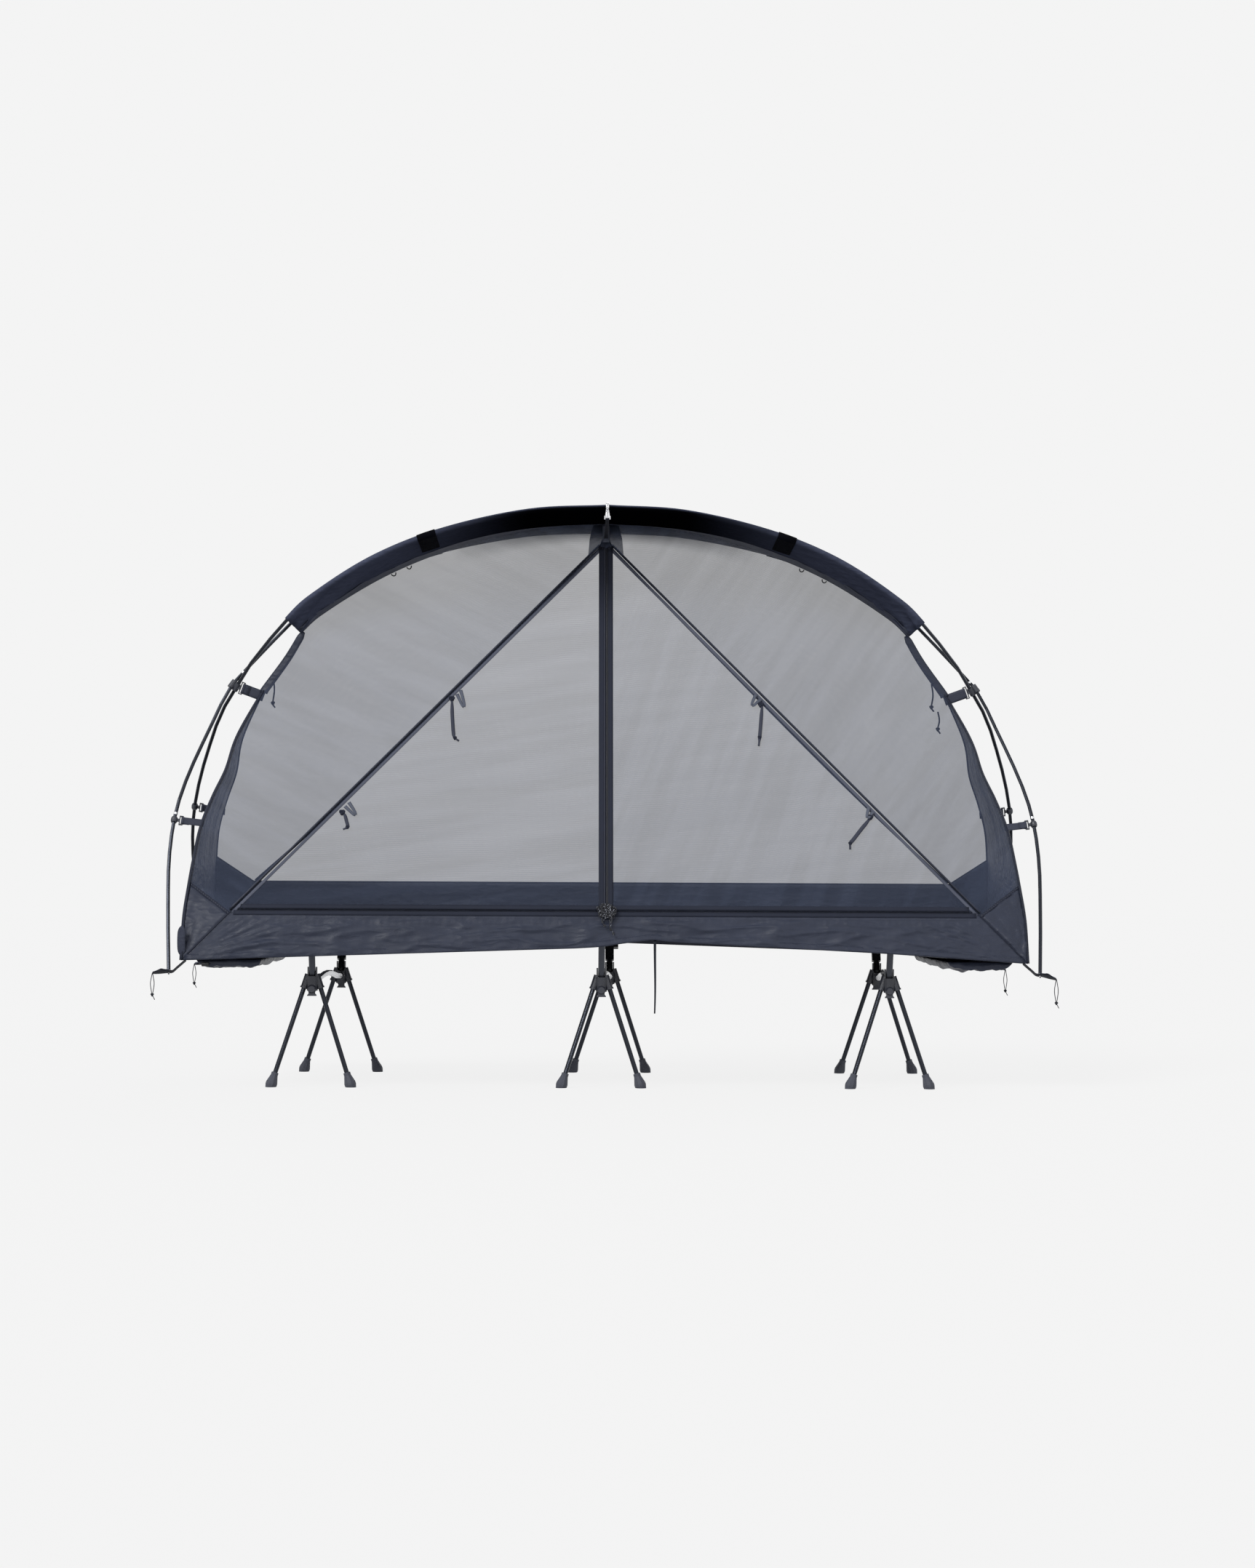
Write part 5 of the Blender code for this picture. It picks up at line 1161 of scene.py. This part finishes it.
upper, lower = edge_knots()[:2]
held = upper.lerp(lower, CLIP_STRAP_WIDTH / 2 / (upper.z - lower.z))
for side_x, hand in SIDES.items():
    clip_strap(f"crossing_strap_{hand}", Vector((side_x * CLIP_X, 0, CLIP_Z)),
               flip(held, side_x, 0), (0, 0, 1), CLIP_TO_BAR, 0.010, CLIP_STRAP_WIDTH)
    for side_y, end in ENDS.items():
        place, along = pole_place(RING_Z[side_y], side_x, side_y)
        clip_strap(f"ring_strap_{end}_{hand}", place, edge_across(place, along, side_x, side_y),
                   along, RING_TO_BAR, 0.006, RING_STRAP_WIDTH)
        # Corner webbing: from inside the hem, under the pole's tip, to a folded tail with an eye
        line = flips(half_pole(0.0), side_x, -side_y)
        down = (line[-1] - line[-2]).normalized()
        seat = line[-1] + down * 2 * GAP
        start = Vector((side_x * (CORNER_X - HEM_FOLD), side_y * (CORNER_Y - HEM_FOLD * 0.8),
                        HEM_Z + 0.0016))
        out = Vector((side_x, side_y * 0.35, 0)).normalized()
        knee = seat - out * CORNER_STRAP_WIDTH * 0.62
        tip = seat + out * (STRAP_TAIL + 0.012) + down * (0.004 if side_x < 0 else 0.012)
        line = through([start, start.lerp(knee, 0.7), knee, seat, seat.lerp(tip, 0.5), tip], 4)
        band(f"corner_webbing_{end}_{hand}", line, -down, lambda s: CORNER_STRAP_WIDTH *
             (1 - 0.45 * max(0.0, (s - 0.75) / 0.25) ** 2), 0.0014, BLACK_WEBBING, ROOT, across=4)
        bow = seat.lerp(tip, 0.5) - down * 0.0072
        line = through([seat - down * 0.0016, seat.lerp(bow, 0.6), bow, bow.lerp(tip, 0.55),
                        tip - down * 0.0012], 4)
        band(f"corner_tail_{end}_{hand}", line, -down, lambda s: CORNER_STRAP_WIDTH *
             (1 - 0.4 * s), 0.0012, WEBBING_FINISH, ROOT, across=4)
        across = out.cross(down).normalized()
        ring = [seat - down * 0.0016 + (out * math.cos(a) + across * math.sin(a)) * 0.0042
                for a in [math.tau * i / 24 for i in range(25)]]
        tube_piece(f"grommet_{end}_{hand}", ring, 0.0013, BRIGHT, ROOT)
        pin = seat + down * 0.002
        tube_piece(f"tip_pin_{end}_{hand}", [pin, pin + down * 0.004], 0.0022, BRIGHT, ROOT)
        # A loop of thin cord with a knot
        hang, side = Vector((side_x * -0.0015, 0, -1)).normalized(), Vector((1, 0, 0))
        drop = 0.062 if side_x > 0 else 0.056
        foot = tip + hang * drop
        near, far = (through([tip - down * 0.0005, *(
            tip + hang * fall + side * sign * wide for fall, wide in (
                (0.010, 0.0022), (drop * 0.5, 0.0048), (drop * 0.86, 0.0020))), foot], 5)
            for sign in (-1, 1))
        line = through([*near[::5], foot + hang * 0.006 + side * 0.003,
                        foot + hang * 0.013 + side * 0.0065], 4)
        cord = tube_piece(f"corner_cord_{end}_{hand}", line, 0.0010, CORD, ROOT)
        strand = tube_piece(f"corner_strand_{end}_{hand}", far, 0.0010, CORD, ROOT)
        tied = knot(f"corner_knot_{end}_{hand}", foot, 0.0042, 0.0012, CORD, ROOT)
        hanging(cord, line, 0.0020, (strand, tied))

# The strap from the peak to the hook
EYE = Vector((0, -CROWN_Y - HOOK_LEAN, CROWN_Z - (SLEEVE_RADIUS + 2 * GAP + HOOK_WIRE)
              - HOOK_SHANK))
webbing("peak_strap", EYE, PEAK + Vector((0, 0, 0.004)), (1, 0, 0), PEAK_STRAP_WIDTH,
        BLACK_WEBBING, 0.0012, 0.0030)
line = [on_wall(0, z, 0.0180 + max(0.0, z - PEAK.z) * 0.12)
        for z in [1.5005 - 0.045 * i / 12 for i in range(13)]]
band("peak_tab", line, WALL_NORMAL, 0.0185, 0.0014, GREY_WEBBING, ROOT)
rows = []
for i in range(9):
    z, half = PEAK.z + 0.014 - 0.046 * i / 8, 0.007 + 0.019 * i / 8
    rows.append([Vector((half * (-1 + j / 3), wall_y(z) + 0.0022, z)) for j in range(7)])
surface("peak_backing", rows, BINDING, ROOT, (0, -1, 0.3), CLOTH)
for side_x, hand in SIDES.items():
    # Netting doubled over the peak: inner edge down the diagonal, outer edge free
    lines = [wall_line((side_x * x, z), (side_x * far_x, far_z), 8)
             for (x, z), (far_x, far_z) in (
                 ((0.0050, 1.511), (0.0345, 1.509)), ((0.0050, PEAK.z + 0.010), (0.0400, 1.490)),
                 ((0.0160, PEAK.z - 0.0160 / RUN_X + 0.005), (0.0445, 1.470)),
                 ((0.0440, PEAK.z - 0.0440 / RUN_X + 0.005),
                  (0.0480, PEAK.z - 0.0480 / RUN_X + 0.010)))]
    surface(f"peak_patch_{hand}", list(zip(*lines)), NET_DOUBLED, ROOT, (0, -1, 0.3), CLOTH,
            lambda u, v, point: 0.0030)

# The hook's bent plate and its rivet
hub = Vector((0, -CROWN_Y, CROWN_Z))
reach = SLEEVE_RADIUS + 2 * GAP + 2 * HOOK_WIRE + 0.0004
line = [hub + Vector((0, math.cos(math.radians(a)), math.sin(math.radians(a)))) * reach
        for a in range(60, 200, 10)]
line += [EYE + Vector((0, y, z)) for y, z in ((-0.0034, 0.022), (-0.0030, 0.012),
                                              (-0.0030, 0.002))]
line = through(line, 3)
plate = Run(line)
band("hook_plate", line, lambda s: Vector((1, 0, 0)).cross(plate.tangent(s)),
     lambda s: 0.0085 + 0.0035 * smoothstep((s - 0.6) / 0.3), 0.0014, BRIGHT, ROOT, 0.0002,
     crown=0.0008)
rivet = plate.at(0.72) + Vector((0, -0.0004, 0))
tube_piece("hook_rivet", [rivet + Vector((0, y, 0)) for y in (0, -0.0014, -0.0024)], 0.0034,
           BRIGHT, ROOT, 6, (1.0, 0.9, 0.45))


# Tie-backs on the diagonal seams, which go with the doors

def tie_back(name, body, roots, loop_tip, toggle, tail, wide):
    """A folded loop of webbing, a toggle knot, and a flat elastic tail with a knot."""
    tip = on_wall(*loop_tip, 0.009)
    inward = -0.0045 if roots[0][0] > 0 else 0.0045
    roots = [(x + inward, z - 0.0045) for x, z in roots]
    for k, root in enumerate(roots):
        start = on_wall(*root, 0.003)
        side = (tip - start).cross(WALL_NORMAL).normalized()
        if side.dot(on_wall(*root) - on_wall(*roots[1 - k])) < 0:
            side.negate()
        line = through([start, start.lerp(tip, 0.5) + side * 0.0016 + WALL_NORMAL * 0.003,
                        start.lerp(tip, 0.88) + side * 0.0022 + WALL_NORMAL * 0.002, tip], 6)
        band(f"{name}_loop_{k}", line, WALL_NORMAL, lambda s: 0.0098 - 0.0030 * s, 0.0013,
             GREY_WEBBING, body, 0.0012 * k, crown=0.0008, across=4)
        stitch(body, line[:10], WALL_NORMAL, 0.0016 + 0.0012 * k, 0.0034, -0.0034, dark=True)
    toggle = on_wall(toggle[0] + inward, toggle[1] - 0.0045, 0.006)
    knot(f"{name}_toggle", toggle, 0.0062, 0.0034, BINDING, body)
    path = through([on_wall(x, z, 0.006) for x, z in tail], 6)
    end = band(f"{name}_tail", path, WALL_NORMAL,
               lambda s: wide * (0.55 + 0.45 * smoothstep(s / 0.3))
               * (1 - 0.45 * smoothstep((s - 0.80) / 0.1)), 0.0016, WEBBING_FINISH, body,
               crown=0.0012, across=4)
    tied = knot(f"{name}_knot", on_wall(*tail[-2], 0.006), 0.0042, 0.0022, BINDING, body)
    hanging(end, path, wide, (tied,), path=[tuple(point) for point in path])


tie_back("tie_left_high", "door_left", ((-0.4020, 1.0400), (-0.3925, 1.0500)),
         (-0.3776, 0.9974), (-0.4150, 1.0260),
         ((-0.4105, 1.0240), (-0.4095, 0.9990), (-0.4085, 0.9755), (-0.4043, 0.9262),
          (-0.4005, 0.9150), (-0.3895, 0.9066)), 0.0098)
tie_back("tie_left_low", "door_left", ((-0.6900, 0.7360), (-0.6800, 0.7460)),
         (-0.6566, 0.7060), (-0.6965, 0.7190),
         ((-0.6896, 0.7150), (-0.6840, 0.7050), (-0.6795, 0.6900), (-0.6765, 0.6760),
          (-0.6881, 0.6692)), 0.0092)
tie_back("tie_right_high", "door_right", ((0.4190, 1.0310), (0.4060, 1.0440)),
         (0.3900, 1.0060), (0.4180, 1.0150),
         ((0.4177, 1.0137), (0.4155, 0.9920), (0.4135, 0.9708), (0.4087, 0.9214),
          (0.4057, 0.8977)), 0.0098)
tie_back("tie_right_low", "door_right", ((0.7090, 0.7290), (0.6980, 0.7400)),
         (0.6880, 0.7060), (0.7010, 0.7140),
         ((0.6991, 0.7107), (0.6850, 0.6930), (0.6703, 0.6755), (0.6500, 0.6500),
          (0.6414, 0.6394), (0.6405, 0.6235)), 0.0104)

# Ties inside the end walls' tops
for k, (x, y, high, low) in enumerate(((-0.9050, 0.020, 1.094, 1.020),
                                       (0.8950, 0.020, 1.084, 1.020),
                                       (0.9180, 0.060, 1.010, 0.962))):
    line = through([(x, y, high), (x + 0.004, y - 0.002, (high + low) / 2), (x, y, low),
                    (x + 0.006, y - 0.004, low - 0.012)], 5)
    tie = tube_piece(f"inner_tie_{k}", line, 0.0022, BLACK_WEBBING, ROOT)
    tied = knot(f"inner_knot_{k}", line[-6], 0.0048, 0.0022, BLACK_WEBBING, ROOT)
    hanging(tie, line, 0.0044, (tied,))

# Cord pulls bunched where the three sliders meet
maker = random.Random(7)
TANGLE_Z = 0.458
for name, start_z, foot_x, foot_z in (("slider_left", 0.457, -0.004, 0.420),
                                      ("slider_right", 0.457, 0.012, 0.410),
                                      ("slider_vertical", 0.470, 0.019, 0.399)):
    low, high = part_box(name)
    start = Vector(((low[0] + high[0]) / 2, low[1] + 0.001, start_z))
    loops = []
    for k in range(6):
        points = [start]
        for j in range(6):
            turn, far = math.tau * maker.random(), 0.009 + 0.015 * maker.random() ** 0.7
            points.append(on_wall(start.x * 0.4 + far * math.cos(turn), TANGLE_Z + 0.85 * far
                                  * math.sin(turn), 0.007 + 0.009 * maker.random()))
        points.append(on_wall(start.x + 0.006 * (maker.random() - 0.5), start.z - 0.006, 0.009))
        loops.append(tube_piece(f"{name}_loop_{k}", through(points, 5), 0.0012, FLECK, name, 2))
    line = through([start, *(on_wall(start.x + (foot_x - start.x) * t + sway,
                                     start.z + (foot_z - start.z) * t, 0.012)
                             for t, sway in ((0.2, -0.003), (0.45, 0.004), (0.75, -0.003),
                                             (1.0, 0.0)))], 6)
    pull = tube_piece(f"{name}_cord", line, 0.0010, FLECK, name, 2)
    tied = knot(f"{name}_knot", line[-1], 0.0030, 0.0012, FLECK, name)
    hanging(pull, line, 0.0020, (*loops, tied))

# A strip of fastener and a toggle at the left end's edge, and rings on the poles
line = [Vector((-CORNER_X + 0.002 - 0.002 * math.sin(math.pi * i / 14), -CORNER_Y + 0.010,
                0.419 - 0.078 * i / 14)) for i in range(15)]
band("end_fastener", line, (-0.5, -1, 0), lambda s: 0.020 * (1 - abs(2 * s - 1) ** 6) + 0.004,
     0.0024, SLEEVE_NYLON, ROOT, 0.002, crown=0.0012)
bm = bmesh.new()
bmesh.ops.create_cube(bm, size=1.0, matrix=Matrix.Translation(
    (-1.034, -CORNER_Y + 0.022, 0.3195)) @ Matrix.Diagonal((0.019, 0.007, 0.011, 1.0)))
toggle = piece("pocket_toggle", mesh_of("pocket_toggle", bm), BLACK_MOULDED, ROOT)
toggle.data.shade_smooth()
step = toggle.modifiers.new("Bevel", "BEVEL")
step.width, step.segments = 0.0022, 3
for k, (height, side_x) in enumerate(((1.102, -1), (0.712, 1), (1.087, 1), (0.712, -1))):
    place, along = pole_place(height, side_x, -1)
    tube_piece(f"pole_ring_{k}", [place - along * 0.003, place, place + along * 0.003],
               POLE_RADIUS + 0.0006, BARE_TUBE, ROOT, 4)

for prefix, finish, made in (("stitching_", THREAD, STITCHES),
                             ("dark_stitching_", DARK_THREAD, DARK_STITCHES)):
    for body, bits in made.items():
        if bits.points:
            bits.make(prefix + body, finish, body, "tent_cloth")

# The cot's bed cloth

OUTER = RAIL_RADIUS + GAP + 0.0013
WINDOW = 0.030
SLEEVE_STEPS = 12
ARC = [math.radians(-240 + 330 * j / SLEEVE_STEPS) for j in range(SLEEVE_STEPS + 1)]
bm = bmesh.new()
rows = []
for i in range(97):
    x = -BED_X + 2 * BED_X * i / 96
    front, rear = ([Vector((x, side_y * (BED_Y + OUTER * math.cos(turn)),
                            RAIL_Z + OUTER * math.sin(turn))) for turn in ARC]
                   for side_y in (-1, 1))
    rows.append([bm.verts.new(point) for point in front + rear[::-1]])
for a, b in zip(rows, rows[1:]):
    middle = (a[0].co.x + b[0].co.x) / 2
    cut_out = any(abs(middle - step * STATION) < WINDOW for step in (-1, 0, 1))
    for j in range(len(a) - 1):
        # The sleeves are cut out for the levers; the sheet between them is whole.
        if j == SLEEVE_STEPS or not cut_out:
            bm.faces.new((a[j], a[j + 1], b[j + 1], b[j]))
loose = [vert for vert in bm.verts if not vert.link_faces]
bmesh.ops.delete(bm, geom=loose, context="VERTS")
bmesh.ops.recalc_face_normals(bm, faces=bm.faces)
data = mesh_of("bed_sheet", bm)
data.shade_smooth()
bed = piece("bed_sheet", data, BED_CLOTH, ROOT)
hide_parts("cot_sheet")

# The loose tape
TAPE_TOP = HEM_Z + max(HEM_RISES) - 3 * GAP
tape_path = []
for u in [i / 24 for i in range(25)]:
    tape_path.append(Vector((TAPE_X + TAPE_BEND * math.sin(math.pi * u) * u,
                             wall_y(TAPE_TOP) + 0.0016 + TAPE_BEND * math.sin(2 * math.pi * u),
                             TAPE_TOP - TAPE_LENGTH * u)))
tape = band("loose_tape", tape_path, (0, -1, 0), lambda s: TAPE_WIDTH * (1 - 0.45 * s), 0.0010,
            BLACK_WEBBING, ROOT)
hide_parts("hanging_tape")


# The panels' cuts and what holds each, looked up here and not used further
HOLDERS = {"side_mesh": ["ridge_sleeve_front"], "rear_mesh": ["ridge_sleeve_rear"],
           "rear_tub": ["side_rail_rear"], "front_sill": ["side_rail_front"],
           "end_wall_left": ["crossing_clip_left"], "end_wall_right": ["crossing_clip_right"],
           "corner_tub": ["side_rail_front"], "door_mesh": ["front_sill"],
           "ridge_sleeve": ["pole_front_footed", "pole_rear_footed"],
           "tent_floor": ["bed_sheet"], "end_pocket": ["side_rail_front", "side_rail_rear"]}
for name, (wide, long, area) in CUTS.items():
    holder = next((held for key, held in HOLDERS.items() if name.startswith(key)), None)
    if holder and "seam" not in name:
        how = "laid" if name == "tent_floor" else "hung" if "pocket" in name else "stretched"


# Camera, lights, floor

BACKDROP, AMBIENT = 0.904, 0.40
FLOOR_GLOW, FLOOR_GLOW_SHARE = 0.985, 0.85
WHITE = (1, 1, 1, 1)
camera_data = bpy.data.cameras.new("camera")
camera_data.lens, camera_data.sensor_width = 65.0, 36.0
camera = linked("camera", camera_data)
pitch, yaw, roll = math.radians(2.019), math.radians(1.332), math.radians(0.278)
ahead = Vector((math.sin(yaw) * math.cos(pitch), math.cos(yaw) * math.cos(pitch),
                math.sin(pitch)))
right = ahead.cross(Vector((0, 0, 1))).normalized()
top = right.cross(ahead)
right, top = (right * math.cos(roll) + top * math.sin(roll),
              top * math.cos(roll) - right * math.sin(roll))
camera.matrix_world = (Matrix.Translation((-0.1168, -7.7078, 0.5324))
                       @ Matrix((right, top, -ahead)).transposed().to_4x4())
bpy.context.scene.camera = camera


def seen(n):
    """1 for what the camera sees, plainly, in a gloss or through glass."""
    path = n.node("LightPath", {})
    return n.most(path["Is Camera Ray"], path["Is Glossy Ray"], path["Is Transmission Ray"])


world = bpy.data.worlds.new("world")
bpy.context.scene.world = world
world.use_nodes = True
world.node_tree.nodes.clear()
n = Nodes(world.node_tree)
plain, soft = (n.node("Background", {"Color": WHITE, "Strength": strength})[0]
               for strength in (BACKDROP, AMBIENT))
n.node("OutputWorld", {"Surface": n.node("MixShader", {0: seen(n), 1: soft, 2: plain})[0]})

for name, direction, strength, angle in (("key", (0.55, 0.60, -0.72), 1.75, 25),
                                         ("fill", (-0.60, 0.65, -0.30), 0.45, 60),
                                         ("edge", (0.30, 0.90, -0.22), 0.30, 5),
                                         ("back", (-0.30, -0.80, -0.50), 0.80, 40)):
    lamp = bpy.data.lights.new(name, "SUN")
    lamp.energy, lamp.angle = strength, math.radians(angle)
    holder = linked(name, lamp)
    holder.rotation_mode = "QUATERNION"
    holder.rotation_quaternion = Vector(direction).to_track_quat("-Z", "Y")

floor_mat, n = material("studio_floor", 0.9, Base_Color=(0.45, 0.45, 0.45, 1),
                        Specular_IOR_Level=0.0)
glow = n.node("Emission", {"Color": WHITE, "Strength": FLOOR_GLOW})[0]
mixed = n.node("MixShader", {0: n.times(seen(n), FLOOR_GLOW_SHARE), 1: n.shader.outputs[0],
                             2: glow})[0]
n.tree.links.new(mixed, n.tree.nodes["Material Output"].inputs["Surface"])
bm = bmesh.new()
bmesh.ops.create_grid(bm, x_segments=1, y_segments=1, size=40)
data = mesh_of("studio_floor", bm)
data.materials.append(floor_mat)
linked("studio_floor", data)

scene = bpy.context.scene
scene.view_settings.view_transform = "Standard"
scene.cycles.transparent_max_bounces = 24
